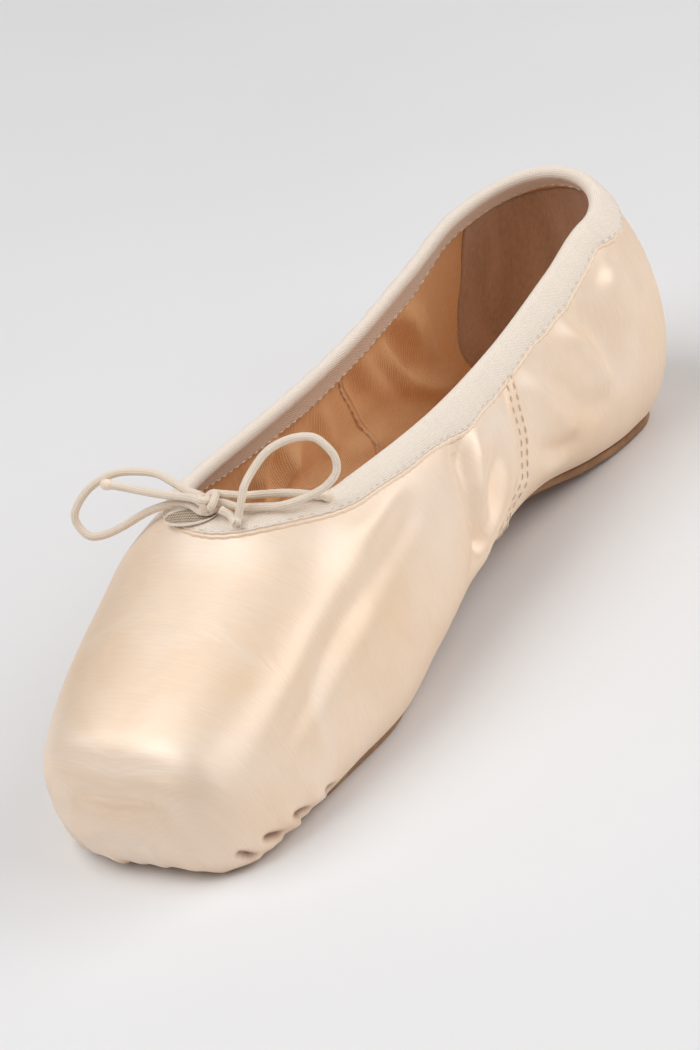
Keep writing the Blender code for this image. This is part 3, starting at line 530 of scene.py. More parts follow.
def stitch_grids(path, up):
    """Threads lying along a path: each is a short tube whose ends dip into the cloth, as one grid apiece."""
    sizes = sizes_of()
    length, gap, radius = sizes.stitch_length, sizes.stitch_gap, sizes.thread_radius
    run = arc_lengths(path)
    count = int(run[-1] / (length + gap))
    starts = (run[-1] - count * (length + gap) + gap) / 2 + np.arange(count) * (length + gap)
    share = np.linspace(0, 1, 6)
    at = starts[:, None] + share[None] * length
    spots = np.stack([np.interp(at, run, path[:, axis]) for axis in range(3)], axis=-1)
    lift = unit(np.stack([np.interp(at, run, up[:, axis]) for axis in range(3)], axis=-1))
    tangent = unit(np.gradient(spots, axis=1))
    across = unit(np.cross(tangent, lift))
    arch = np.sin(share * math.pi) ** 0.6
    spots = spots + lift * (radius * (1.5 * arch - 0.9))[None, :, None]
    angle = np.linspace(0, 2 * math.pi, 6, endpoint=False)
    thick = radius * (0.55 + 0.45 * arch)
    cosine, sine = np.cos(angle)[None, None, :, None], np.sin(angle)[None, None, :, None]
    ring = across[:, :, None] * cosine + lift[:, :, None] * sine
    points = spots[:, :, None] + ring * thick[None, :, None, None]
    chart = np.stack(np.broadcast_arrays(angle / 20, (share * length * 100)[:, None]), axis=-1)
    return [(one, chart, TUBE) for one in points]


def surface_line(spots, side, spacing, out=0.0):
    """Path over the last through spots given as millimetres from the toe and turn: places, turns, points."""
    rough = np.asarray(spots, float) * (MM / LENGTH, 1.0)
    scaled = smooth_path(rough * (LENGTH, 0.03), spacing) / (LENGTH, 0.03)
    place, turn = scaled[:, 0], scaled[:, 1]
    flank = np.full_like(place, side)
    return place, turn, skin_point(place, turn, flank, np.full_like(place, out))


def soft_fold(points, path, width, rise, tip=0.34):
    """Height of a fold: the rise times a bell of the distance from its line, eased to nothing at its tips."""
    first, along = path[:-1], np.diff(path, axis=0)
    size = (along ** 2).sum(-1)
    apart = points[:, None] - first[None]
    share = np.clip((apart * along[None]).sum(-1) / size[None], 0, 1)
    gap = np.linalg.norm(apart - share[..., None] * along[None], axis=-1)
    nearest = gap.argmin(axis=1)
    pick = np.arange(len(points))
    run = (nearest + share[pick, nearest]) / len(first)
    return rise * np.exp(-(gap[pick, nearest] / width) ** 2) * ease(run / tip) * ease((1 - run) / tip)


def drape(points, place, turn):
    """Height of the satin's listed folds at an array of points, eased away under the binding."""
    deeper = 1 + 0.35 * ease((place - 0.40) / 0.08)
    height = fold_field(points, FOLDS, 0.0) * sizes_of().fold_depth * deeper
    return height * np.where(place > THROAT, ease((collar_turn(place) - 0.05 - turn) / 0.14), 1.0)


def fold_field(points, folds, depth):
    """Sum of all folds of a table over an array of points."""
    flat = points.reshape(-1, 3)
    total = np.zeros(len(flat))
    for side, width, rise, spots in folds:
        path = surface_line(spots, side, 0.004, depth)[2]
        total += soft_fold(flat, path, width * MM, rise * MM)
    return total.reshape(points.shape[:-1])


def cover_rows(edge, cap, vamp, front, middle, heel):
    """Places, insets and cap shares of the upper's fine rows, from the platform's middle to the back."""
    turn = np.linspace(0, math.pi / 2, edge + 1)
    body = np.concatenate([
        np.linspace(TOE_EDGE / LENGTH, THROAT, vamp + 1)[1:-1], round_rows(THROAT, CURVED_THROAT, front),
        np.linspace(ROUND_END, HEEL_AXIS, middle + 1)[1:], np.linspace(HEEL_AXIS, 1.0, heel + 1)[1:]])
    place = np.concatenate([np.zeros(cap), TOE_EDGE * (1 - np.cos(turn)) / LENGTH, body])
    inset = np.concatenate([np.full(cap, TOE_EDGE), TOE_EDGE * (1 - np.sin(turn)), np.zeros(len(body))])
    return place, inset


def cover_grid(side, rows, columns, cap):
    """One half of the upper's outer face as a fine grid: places, turns, points and outward normals.

    Columns run from the margin's edge underneath by the widest level to the collar or the ridge, and the
    platform's face is the rim of its rounded edge shrunk towards its middle, a little domed.
    """
    place, inset = rows
    sizes = last_sizes(place)
    start = turn_at(sizes, margin_half(sizes, place))
    end = np.where(place > THROAT, collar_turn(place), 2.0)
    under, lower, upper = columns
    turn = np.concatenate([
        start[:, None] * (1 - np.linspace(0, 1, under + 1)),
        np.broadcast_to(np.linspace(0, 1, lower + 1)[1:], (len(place), lower)),
        1 + (end[:, None] - 1) * np.linspace(0, 1, upper + 1)[1:]], axis=1)
    sink = PLATFORM_DOME * np.exp(-place * LENGTH / TOE_EDGE)
    points = last_point(place[:, None], turn, side, inset[:, None], sink[:, None])
    rim = points[cap]
    middle = (rim[0] + rim[-1]) / 2
    share = np.linspace(0, 1, cap, endpoint=False)[:, None, None]
    points[:cap] = middle + share * (rim - middle)
    points[:cap, :, 1] = rim[:, 1] - PLATFORM_DOME * (1 - share[..., 0] ** 2)
    down = np.gradient(points, axis=0)
    over = np.gradient(points, axis=1)
    normal = unit(np.cross(down, over) * side)
    normal[:cap] = (0.0, -1.0, 0.0)
    flat = np.broadcast_to(place[:, None], turn.shape)
    body = place > TOE_EDGE / LENGTH
    normal[body] = normals(flat[body], turn[body], np.full_like(turn[body], side))
    return flat, turn, points, normal


def close_halves(bases, halves):
    """Both halves' outer columns laid on their mean wherever the face under them met, so that no slit opens."""
    for column in (0, -1):
        met = np.linalg.norm(bases[0][:, column] - bases[1][:, column], axis=-1) < WELD
        mean = (halves[0][:, column] + halves[1][:, column]) / 2
        for half in halves:
            half[met, column] = mean[met]


def girth_map(points, place):
    """Map of a half cover in centimetres: length round the section, and place along the last, which turns into
    the drop below the ridge over the platform, so that the threads lie level there."""
    round_it = np.swapaxes(arc_lengths(np.swapaxes(points, 0, 1)), 0, 1)
    drop = (points[:, -1:, 2] - points[..., 2]) * np.exp(-place * LENGTH / 0.012)
    return np.stack([round_it * 100, (place * LENGTH - drop) * 100], axis=-1)


# ---------------------------------------------------------------- materials


def linear(code, alpha=1.0):
    """Linear colour of an sRGB hex value."""
    channels = [int(code[k:k + 2], 16) / 255 for k in (1, 3, 5)]
    return (*[c / 12.92 if c <= 0.04045 else ((c + 0.055) / 1.055) ** 2.4 for c in channels], alpha)


def add(tree, kind, inputs=None, **settings):
    """New node of a kind, with its settings, and its inputs set to values or linked to sockets."""
    node = tree.nodes.new(kind)
    for key, value in settings.items():
        setattr(node, key, value)
    for key, value in (inputs or {}).items():
        if isinstance(value, bpy.types.NodeSocket):
            tree.links.new(value, node.inputs[key])
        else:
            node.inputs[key].default_value = value
    return node


def new_material(name, **sockets):
    """Material with its shader's plain sockets set, and the tree to add to."""
    made = bpy.data.materials.new(name)
    made.use_nodes = True
    tree = made.node_tree
    shader = tree.nodes["Principled BSDF"]
    for key, value in sockets.items():
        shader.inputs[key.replace("_", " ")].default_value = value
    return made, tree, shader


def cloth_map(tree, scale):
    """The piece's own map, in centimetres, scaled so that one unit is one thread."""
    chart = add(tree, "ShaderNodeUVMap", uv_map="UVMap")
    return add(tree, "ShaderNodeMapping", {"Vector": chart.outputs["UV"], "Scale": scale}).outputs["Vector"]


def ramp(tree, value, stops):
    """Colour ramp through stops of place and hex colour."""
    node = add(tree, "ShaderNodeValToRGB", {"Fac": value})
    colours = node.color_ramp.elements
    while len(colours) < len(stops):
        colours.new(0.5)
    for element, (place, code) in zip(colours, stops):
        element.position = place
        element.color = linear(code)
    return node.outputs["Color"]


def satin_material(looks):
    """Polyester satin, woven with long floats across the shoe: a smooth face with broad, stretched highlights, and
    painted shade in the toe's slits.
    """
    made, tree, shader = new_material(
        "woven_satin", Metallic=0.16, Roughness=0.46, IOR=2.1, Anisotropic=0.4, Anisotropic_Rotation=0.25,
        Coat_Weight=0.10, Coat_Roughness=0.40)
    tangent = add(tree, "ShaderNodeTangent", direction_type="UV_MAP", uv_map="UVMap")
    tree.links.new(tangent.outputs["Tangent"], shader.inputs["Tangent"])
    # Floats lie 0.12 mm apart; drawn at about 0.4 mm, so that they show
    threads = add(tree, "ShaderNodeTexNoise", {"Vector": cloth_map(tree, (2.4, 30.0, 1.0)), "Scale": 1.0,
                                               "Detail": 3.0, "Roughness": 0.65})
    slubs = add(tree, "ShaderNodeTexNoise", {"Vector": cloth_map(tree, (1.2, 15.0, 1.0)), "Scale": 1.0,
                                             "Detail": 2.0})
    cloud = add(tree, "ShaderNodeTexNoise", {"Vector": cloth_map(tree, (0.28, 0.22, 1.0)), "Scale": 1.0,
                                             "Detail": 3.0, "Roughness": 0.5})
    base = ramp(tree, cloud.outputs["Fac"], ((0.30, looks["satin_deep"]), (0.72, looks["satin"])))
    line = add(tree, "ShaderNodeMath", {0: threads.outputs["Fac"], 1: slubs.outputs["Fac"]}, operation="ADD")
    shade = add(tree, "ShaderNodeMapRange", {"Value": line.outputs[0], "From Min": 0.7, "From Max": 1.3,
                                             "To Min": 0.965, "To Max": 1.02})
    tone = add(tree, "ShaderNodeMix", {"Factor": 1.0, "A": base, "B": shade.outputs["Result"]},
               data_type="RGBA", blend_type="MULTIPLY")
    # Painted shade: the slits' depth, kept as a mark on the mesh, mixes the satin towards brown in the tight slits
    # beside the toe, standing in for the shadow inside them
    painted_slit_shade = add(tree, "ShaderNodeAttribute", attribute_name="painted_slit_shade").outputs["Fac"]
    slit_shade_mix = add(tree, "ShaderNodeMix", {"Factor": painted_slit_shade, "A": tone.outputs["Result"], "B": linear("#8c5632")},
               data_type="RGBA")
    tree.links.new(slit_shade_mix.outputs["Result"], shader.inputs["Base Color"])
    bump = add(tree, "ShaderNodeBump", {"Strength": 0.09, "Distance": 0.0002, "Height": line.outputs[0]})
    soft = add(tree, "ShaderNodeTexNoise", {"Vector": cloth_map(tree, (0.9, 0.7, 1.0)), "Scale": 1.0, "Detail": 2.0})
    wave = add(tree, "ShaderNodeBump", {"Strength": 0.22, "Distance": 0.0009, "Height": soft.outputs["Fac"],
                                        "Normal": bump.outputs["Normal"]})
    tree.links.new(wave.outputs["Normal"], shader.inputs["Normal"])
    return made


def weave_material(name, light, dark, scale, roughness, sheen, twill=0.0, depth=0.0003):
    """Cotton cloth: over and under threads as two crossed waves of the map, dull, with a light nap."""
    made, tree, shader = new_material(name, Roughness=roughness, IOR=1.5, Sheen_Weight=sheen, Sheen_Roughness=0.5)
    chart = cloth_map(tree, (1.0, 1.0, 1.0))
    parts = add(tree, "ShaderNodeSeparateXYZ", {"Vector": chart})
    fibre = add(tree, "ShaderNodeTexNoise", {"Vector": cloth_map(tree, (6.0, 6.0, 1.0)), "Scale": 1.0, "Detail": 4.0,
                                             "Roughness": 0.7})
    warp = add(tree, "ShaderNodeMath", {0: parts.outputs["X"], 1: scale}, operation="MULTIPLY")
    weft = add(tree, "ShaderNodeMath", {0: parts.outputs["Y"], 1: scale}, operation="MULTIPLY")
    slant = add(tree, "ShaderNodeMath", {0: warp.outputs[0], 1: twill, 2: weft.outputs[0]}, operation="MULTIPLY_ADD")
    first = add(tree, "ShaderNodeMath", {0: slant.outputs[0]}, operation="SINE")
    second = add(tree, "ShaderNodeMath", {0: warp.outputs[0]}, operation="SINE")
    both = add(tree, "ShaderNodeMath", {0: first.outputs[0], 1: second.outputs[0]}, operation="ADD")
    rough = add(tree, "ShaderNodeMath", {0: fibre.outputs["Fac"], 1: 2.4, 2: both.outputs[0]},
                operation="MULTIPLY_ADD")
    share = add(tree, "ShaderNodeMapRange", {"Value": rough.outputs[0], "From Min": -0.9, "From Max": 3.2})
    base = ramp(tree, share.outputs["Result"], ((0.1, dark), (0.75, light)))
    tree.links.new(base, shader.inputs["Base Color"])
    bump = add(tree, "ShaderNodeBump", {"Strength": 0.4, "Distance": depth, "Height": rough.outputs[0]})
    tree.links.new(bump.outputs["Normal"], shader.inputs["Normal"])
    return made


def suede_material(name, light, dark):
    """Suede split, brushed: a short nap that lies in soft patches and takes no highlight."""
    made, tree, shader = new_material(name, Roughness=0.95, IOR=1.45, Sheen_Weight=0.35, Sheen_Roughness=0.6)
    nap = add(tree, "ShaderNodeTexNoise", {"Vector": cloth_map(tree, (9.0, 9.0, 1.0)), "Scale": 1.0, "Detail": 5.0,
                                           "Roughness": 0.75})
    patch = add(tree, "ShaderNodeTexNoise", {"Vector": cloth_map(tree, (1.0, 0.6, 1.0)), "Scale": 1.0, "Detail": 3.0})
    both = add(tree, "ShaderNodeMath", {0: nap.outputs["Fac"], 1: patch.outputs["Fac"]}, operation="ADD")
    share = add(tree, "ShaderNodeMapRange", {"Value": both.outputs[0], "From Min": 0.65, "From Max": 1.35})
    tree.links.new(ramp(tree, share.outputs["Result"], ((0.0, dark), (1.0, light))), shader.inputs["Base Color"])
    bump = add(tree, "ShaderNodeBump", {"Strength": 0.5, "Distance": 0.0003, "Height": nap.outputs["Fac"]})
    tree.links.new(bump.outputs["Normal"], shader.inputs["Normal"])
    return made


def leather_material(name, light, dark, scored="", roughness=0.55):
    """Vegetable-tanned sole leather, rolled and waxed: mottled tan with fine pores and a faint polish."""
    made, tree, shader = new_material(name, Roughness=roughness, IOR=1.5, Coat_Weight=0.06, Coat_Roughness=0.4)
    place = add(tree, "ShaderNodeTexCoord").outputs["Object"]
    mottle = add(tree, "ShaderNodeTexNoise", {"Vector": place, "Scale": 90.0, "Detail": 5.0, "Roughness": 0.6})
    # Pores are 0.1 mm; drawn at 0.4 mm, so that they show
    pore = add(tree, "ShaderNodeTexVoronoi", {"Vector": place, "Scale": 2500.0})
    grain = add(tree, "ShaderNodeTexNoise", {"Vector": place, "Scale": 1400.0, "Detail": 3.0})
    share = add(tree, "ShaderNodeMapRange", {"Value": mottle.outputs["Fac"], "From Min": 0.3, "From Max": 0.7})
    base = ramp(tree, share.outputs["Result"], ((0.0, dark), (1.0, light)))
    if scored:
        mark = add(tree, "ShaderNodeAttribute", attribute_name="cut").outputs["Fac"]
        mixed = add(tree, "ShaderNodeMix", {"Factor": mark, "A": base, "B": linear(scored)}, data_type="RGBA")
        base = mixed.outputs["Result"]
    tree.links.new(base, shader.inputs["Base Color"])
    height = add(tree, "ShaderNodeMath", {0: pore.outputs["Distance"], 1: grain.outputs["Fac"]}, operation="ADD")
    bump = add(tree, "ShaderNodeBump", {"Strength": 0.25, "Distance": 0.0002, "Height": height.outputs[0]})
    tree.links.new(bump.outputs["Normal"], shader.inputs["Normal"])
    return made


def plain_material(name, light, dark, roughness, scale):
    """Even surface with a slight cloud of tone and a fine tooth."""
    made, tree, shader = new_material(name, Roughness=roughness, IOR=1.45)
    place = add(tree, "ShaderNodeTexCoord").outputs["Object"]
    cloud = add(tree, "ShaderNodeTexNoise", {"Vector": place, "Scale": scale, "Detail": 3.0})
    tree.links.new(ramp(tree, cloud.outputs["Fac"], ((0.35, dark), (0.65, light))), shader.inputs["Base Color"])
    tooth = add(tree, "ShaderNodeTexNoise", {"Vector": place, "Scale": scale * 12, "Detail": 2.0})
    bump = add(tree, "ShaderNodeBump", {"Strength": 0.15, "Distance": 0.0002, "Height": tooth.outputs["Fac"]})
    tree.links.new(bump.outputs["Normal"], shader.inputs["Normal"])
    return made


MATERIALS = {}


def finish_of(kind):
    """Material of a kind, made once."""
    if kind not in MATERIALS:
        looks = colours()
        makers = {
            "satin": lambda: satin_material(looks),
            "tape": lambda: weave_material("cotton_twill_tape", looks["tape"], "#f5e2cd", 110.0, 0.85, 0.15,
                                           twill=1.0, depth=0.0002),
            "lining": lambda: weave_material("cotton_lining", looks["lining"], "#f0a967", 130.0, 0.42, 0.10,
                                             depth=0.00015),
            "cord": lambda: weave_material("braided_cotton_cord", looks["cord"], "#efd9bf", 110.0, 0.75, 0.3,
                                           twill=1.0),
            # The gauze's dark weave tone is partly its own colour and partly painted shade of the casing's dark
            # inside, seen through the mesh
            "gauze": lambda: weave_material("casing_gauze", "#d6c3ad", "#7b6855", 85.0, 0.9, 0.2, depth=0.0004),
            "thread": lambda: weave_material("polyester_thread", "#f8e8d4", "#e2c6a4", 240.0, 0.55, 0.1, twill=1.0),
            "seal": lambda: plain_material("melted_cord_end", "#fdeedd", "#f3dcc0", 0.4, 800.0),
            "suede": lambda: suede_material("brushed_suede", looks["suede"], "#b28b6b"),
            "leather": lambda: leather_material("sole_leather", looks["leather"], "#a3714f", scored="#6f452c"),
            "edge": lambda: leather_material("cut_leather_edge", "#b28a66", "#8a6444", roughness=0.75),
            "sock": lambda: leather_material("insole_board", "#c9a27a", "#b58a62", roughness=0.8),
            "nail": lambda: plain_material("steel_nail_heads", "#3a312b", "#221c18", 0.45, 900.0),
        }
        MATERIALS[kind] = makers[kind]()
    return MATERIALS[kind]


# ---------------------------------------------------------------- settings


class PointeSizes(bpy.types.PropertyGroup):
    """Sizes of the trim that a maker would change."""

    fold_depth: bpy.props.FloatProperty(
        name="Fold depth", description="Depth of the satin's folds, as a share of those placed by hand", default=1.0,
        min=0.0, max=2.0)
    pleat_depth: bpy.props.FloatProperty(
        name="Pleat depth", description="Height of the gathered pleats under the toe", default=0.0011,
        unit="LENGTH", subtype="DISTANCE")
    stitch_length: bpy.props.FloatProperty(
        name="Stitch length", description="Length of one stitch", default=0.0019, unit="LENGTH", subtype="DISTANCE")
    stitch_gap: bpy.props.FloatProperty(
        name="Stitch gap", description="Space between stitches", default=0.0008, unit="LENGTH", subtype="DISTANCE")
    thread_radius: bpy.props.FloatProperty(
        name="Thread radius", description="Radius of the sewing thread", default=0.00021, precision=5,
        unit="LENGTH", subtype="DISTANCE")
    tape_wave: bpy.props.FloatProperty(
        name="Tape wave", description="How far the tape's lower edge wanders", default=0.0008, precision=4,
        unit="LENGTH", subtype="DISTANCE")
    score_spacing: bpy.props.FloatProperty(
        name="Score spacing", description="Distance between the lines scored in the forefoot of the sole",
        default=0.0062, precision=4, unit="LENGTH", subtype="DISTANCE")


def colour_property(name, description, code):
    """Colour setting with a linear default from a hex value."""
    return bpy.props.FloatVectorProperty(
        name=name, description=description, subtype="COLOR", size=3, min=0.0, max=1.0, default=linear(code)[:3])


class PointeColours(bpy.types.PropertyGroup):
    """Colours of the cloths and leathers."""

    satin: colour_property("Satin", "Light tone of the satin", "#fde8d3")
    satin_deep: colour_property("Satin deep", "Deeper tone of the satin", "#f4d3af")
    tape: colour_property("Tape", "Binding tape", "#fff3e6")
    lining: colour_property("Lining", "Cotton lining", "#ffd3a0")
    cord: colour_property("Drawstring", "Drawstring cord", "#fff0df")
    suede: colour_property("Heel patch", "Suede inside the heel", "#d9b394")
    leather: colour_property("Sole", "Outsole leather", "#c08c68")


def colours():
    """Settings' colours as hex values."""
    group = bpy.context.scene.pointe_colours
    made = {}
    for key in ("satin", "satin_deep", "tape", "lining", "cord", "suede", "leather"):
        channels = [12.92 * c if c <= 0.0031308 else 1.055 * c ** (1 / 2.4) - 0.055 for c in getattr(group, key)]
        made[key] = "#" + "".join(f"{round(255 * min(max(c, 0), 1)):02x}" for c in channels)
    return made


def sizes_of():
    """Settings' sizes."""
    return bpy.context.scene.pointe_sizes


def keep(made, replaces=()):
    """Let a piece ride on the shoe's one body, and hide the nodes that it stands for."""
    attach(made, "root")
    if replaces:
        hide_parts(*replaces)
    return made


# ---------------------------------------------------------------- stage and camera


def area_light(name, place, aim, size, power):
    """Soft rectangular light that looks at a point."""
    data = bpy.data.lights.new(name, "AREA")
    data.shape, data.size, data.size_y, data.energy = "RECTANGLE", size[0], size[1], power
    made = bpy.data.objects.new(name, data)
    place, aim = np.array(place), np.array(aim)
    back = unit(place - aim)
    set_axes(made, place, unit(np.cross((0.0, 0.0, 1.0), back)), back)
    bpy.context.scene.collection.objects.link(made)
    return made


def set_axes(made, place, right, back):
    """Place an object whose own X is right and whose own Z points back."""
    up = np.cross(back, right)
    made.matrix_world = Matrix([[right[k], up[k], back[k], place[k]] for k in range(3)] + [[0, 0, 0, 1]])


class POINTE_OT_stage(bpy.types.Operator):
    """Pale floor, soft studio lights and the camera"""

    bl_idname = "pointe.stage"
    bl_label = "Stage"

    def execute(self, context):
        span = np.linspace(-3, 3, 3)
        x, y = np.meshgrid(span, span, indexing="ij")
        floor = grid_object("floor", [(np.stack([x, y, np.zeros_like(x)], axis=-1), np.stack([x, y], axis=-1) * 100,
                                       {})], plain_material("matt_white_board", "#edecec", "#eae9e9", 0.75, 6.0))
        world = bpy.data.worlds.new("studio")
        world.use_nodes = True
        world.node_tree.nodes["Background"].inputs["Color"].default_value = linear("#ececee")
        world.node_tree.nodes["Background"].inputs["Strength"].default_value = 0.29
        context.scene.world = world
        context.scene.view_settings.view_transform = "Standard"
        for light in LIGHTS:
            area_light(*light)
        data = bpy.data.cameras.new("camera")
        data.sensor_width, data.lens = SENSOR_WIDTH, LENS
        data.clip_start, data.clip_end = 0.05, 20.0
        camera = bpy.data.objects.new("camera", data)
        back = np.array(CAMERA_BACK)
        set_axes(camera, CAMERA_PLACE, unit(np.cross(CAMERA_UP, back)), back)
        context.scene.collection.objects.link(camera)
        context.scene.camera = camera
        return {"FINISHED"}


# ---------------------------------------------------------------- drawstring


def knot_place():
    """Centre of the knot, on top of the binding in the middle of the throat."""
    low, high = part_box("drawstring_knot")
    return (np.array(low) + np.array(high)) / 2


class POINTE_OT_drawstring(bpy.types.Operator):
    """Drawstring bow: one cord to either side of a knot, each a loop and a sealed end"""

    bl_idname = "pointe.drawstring"
    bl_label = "Drawstring"

    def execute(self, context):
        centre = knot_place()
        angle = np.linspace(0, 2 * math.pi, 90, endpoint=False)
        knot = np.stack([np.sin(angle) + 2 * np.sin(2 * angle), -1.15 * np.sin(3 * angle),
                         np.cos(angle) - 2 * np.cos(2 * angle)], axis=1)
        reach = (np.array(KNOT_SIZE) - CORD_DIAMETER) / 2
        path = centre + knot / np.abs(knot).max(axis=0) * reach
        grid, chart = tube_grid(path, CORD_DIAMETER / 2 * 0.98, 12, closed=True)
        made = grid_object("drawstring_knot_wraps", [(grid, chart, RING)], finish_of("cord"), weld=0)
        keep(turn_outward(made), ["drawstring_knot"])
        for name, loop, inside, end in (("left", LOOP_LEFT, TURN_LEFT, END_LEFT),
                                        ("right", LOOP_RIGHT, TURN_RIGHT, END_RIGHT)):
            route = smooth_path(np.array(loop + inside + end) * MM, 0.0006) + centre
            share = arc_lengths(route)
            thick = CORD_DIAMETER / 2 * (1 + 0.015 * np.sin(share * 2 * math.pi / 0.0021))
            grid, chart = tube_grid(route, thick, 14)
            cord = grid_object("drawstring_" + name, [(grid, chart, TUBE)], finish_of("cord"), weld=0)
            turn_outward(cord)
            keep(cord, ["drawstring_loop_" + name, "drawstring_end_" + name])
            tip, heading = route[-1], unit(route[-1] - route[-6])
            around = np.linspace(0, math.pi, 15)
            axis = tip + heading * 0.0003 + heading * (-np.cos(around) * 0.00155)[:, None]
            waist = np.maximum(np.sin(around), 0.02) ** 0.8 * CORD_DIAMETER * 0.72
            grid, chart = tube_grid(axis, waist, 14)
            blob = grid_object("sealed_tip_" + name, [(grid, chart, TUBE)], finish_of("seal"), weld=0)
            keep(turn_outward(blob))
        return {"FINISHED"}


# ---------------------------------------------------------------- upper


def pleats(points, height):
    """Gathered pleats under the toe: overlapping tucks round the sole's front, each a slow rise and a quick
    fall with the angle, fading up the side of the toe and in under the sole."""
    x = points[..., 0] - CENTRE[0] - SIDE_CURVE * 0.45
    y = points[..., 1] - CENTRE[1] + LENGTH / 2 - 0.040
    angle = np.degrees(np.arctan2(x, -y))
    edges = np.array([-96, -84, -74, -63, -54, -44, -33, -24, -13, -3, 7, 17, 29, 38, 50, 59, 67, 74, 80, 87, 95])
    tall = np.array([0.5, 0.8, 0.9, 0.7, 0.8, 0.5, 0.9, 0.3, 0.8, 0.3, 0.4, 0.3, 0.8, 0.4, 0.5, 0.6, 0.5, 0.7, 0.6,
                     0.4])
    which = np.clip(np.searchsorted(edges, angle, side="right") - 1, 0, len(tall) - 1)
    share = np.clip((angle - edges[which]) / (edges[which + 1] - edges[which]), 0, 1)
    tuck = tall[which] * (ease(share / 0.86) ** 1.4) * (1 - ease((share - 0.86) / 0.14))
    z = points[..., 2]
    level = 0.0085 + 0.0035 * np.sin(np.radians(angle * 7.3)) + 0.002 * np.cos(np.radians(angle * 3.1))
    fade = ease((level - z) / 0.0065)
    near = ease((x ** 2 + y ** 2) ** 0.5 / 0.012 - 0.6)
    inside = (np.abs(angle) < 95) & (y < 0.004)
    return height * (tuck - 0.35) * fade * near * inside


class POINTE_OT_upper(bpy.types.Operator):
    """Satin cover of the upper, creased and pleated under the toe"""

    bl_idname = "pointe.upper"
    bl_label = "Satin upper"

    def execute(self, context):
        sizes = sizes_of()
        cap = 8
        rows = cover_rows(12, cap, 64, 22, 84, 22)
        grids, bases = [], []
        for side in (1, -1):
            place, turn, points, normal = cover_grid(side, rows, (18, 44, 38), cap)
            bases.append(points)
            lift = drape(points, place, turn) + pleats(points, sizes.pleat_depth)
            crown = np.exp(-(place * LENGTH / 0.010) ** 2)
            crown[:cap] = np.linspace(0, 1, cap, endpoint=False)[:, None] ** 2
            lift = lift - 1.3 * MM * crown * ease((turn - 0.4) / 0.5)
            lift = lift + edge_line(place, turn) + fold_field(points, PUFFS, 0.0)
            slit = fold_field(points, SLITS, 0.0)
            clear = np.minimum(lift, 2.4 * MM) + slit
            # The slits' depth is kept as the mark for the satin's painted shade inside them
            grids.append((points + normal * clear[..., None], girth_map(points, place),
                          {"flip": side < 0, "mark": np.clip(-slit / (1.4 * MM), 0, 1)}))
        close_halves(bases, [grid[0] for grid in grids])
        made = grid_object("satin_upper", grids, finish_of("satin"), marks="painted_slit_shade")
        shell = made.modifiers.new("cloth_thickness", "SOLIDIFY")
        shell.thickness, shell.offset = SATIN_THICKNESS, -1.0
        keep(made, ["upper"])
        return {"FINISHED"}


def edge_line(place, turn):
    """Soft line over the platform, where the block inside ends: a shallow trough behind the rounded edge."""
    distance = place * LENGTH - 0.0030 - 0.0035 * ease((1.2 - turn) / 0.25)
    strength = ease((turn - 0.75) / 0.25)
    return -0.00030 * np.exp(-(distance / 0.0018) ** 2) * strength


# ---------------------------------------------------------------- lining


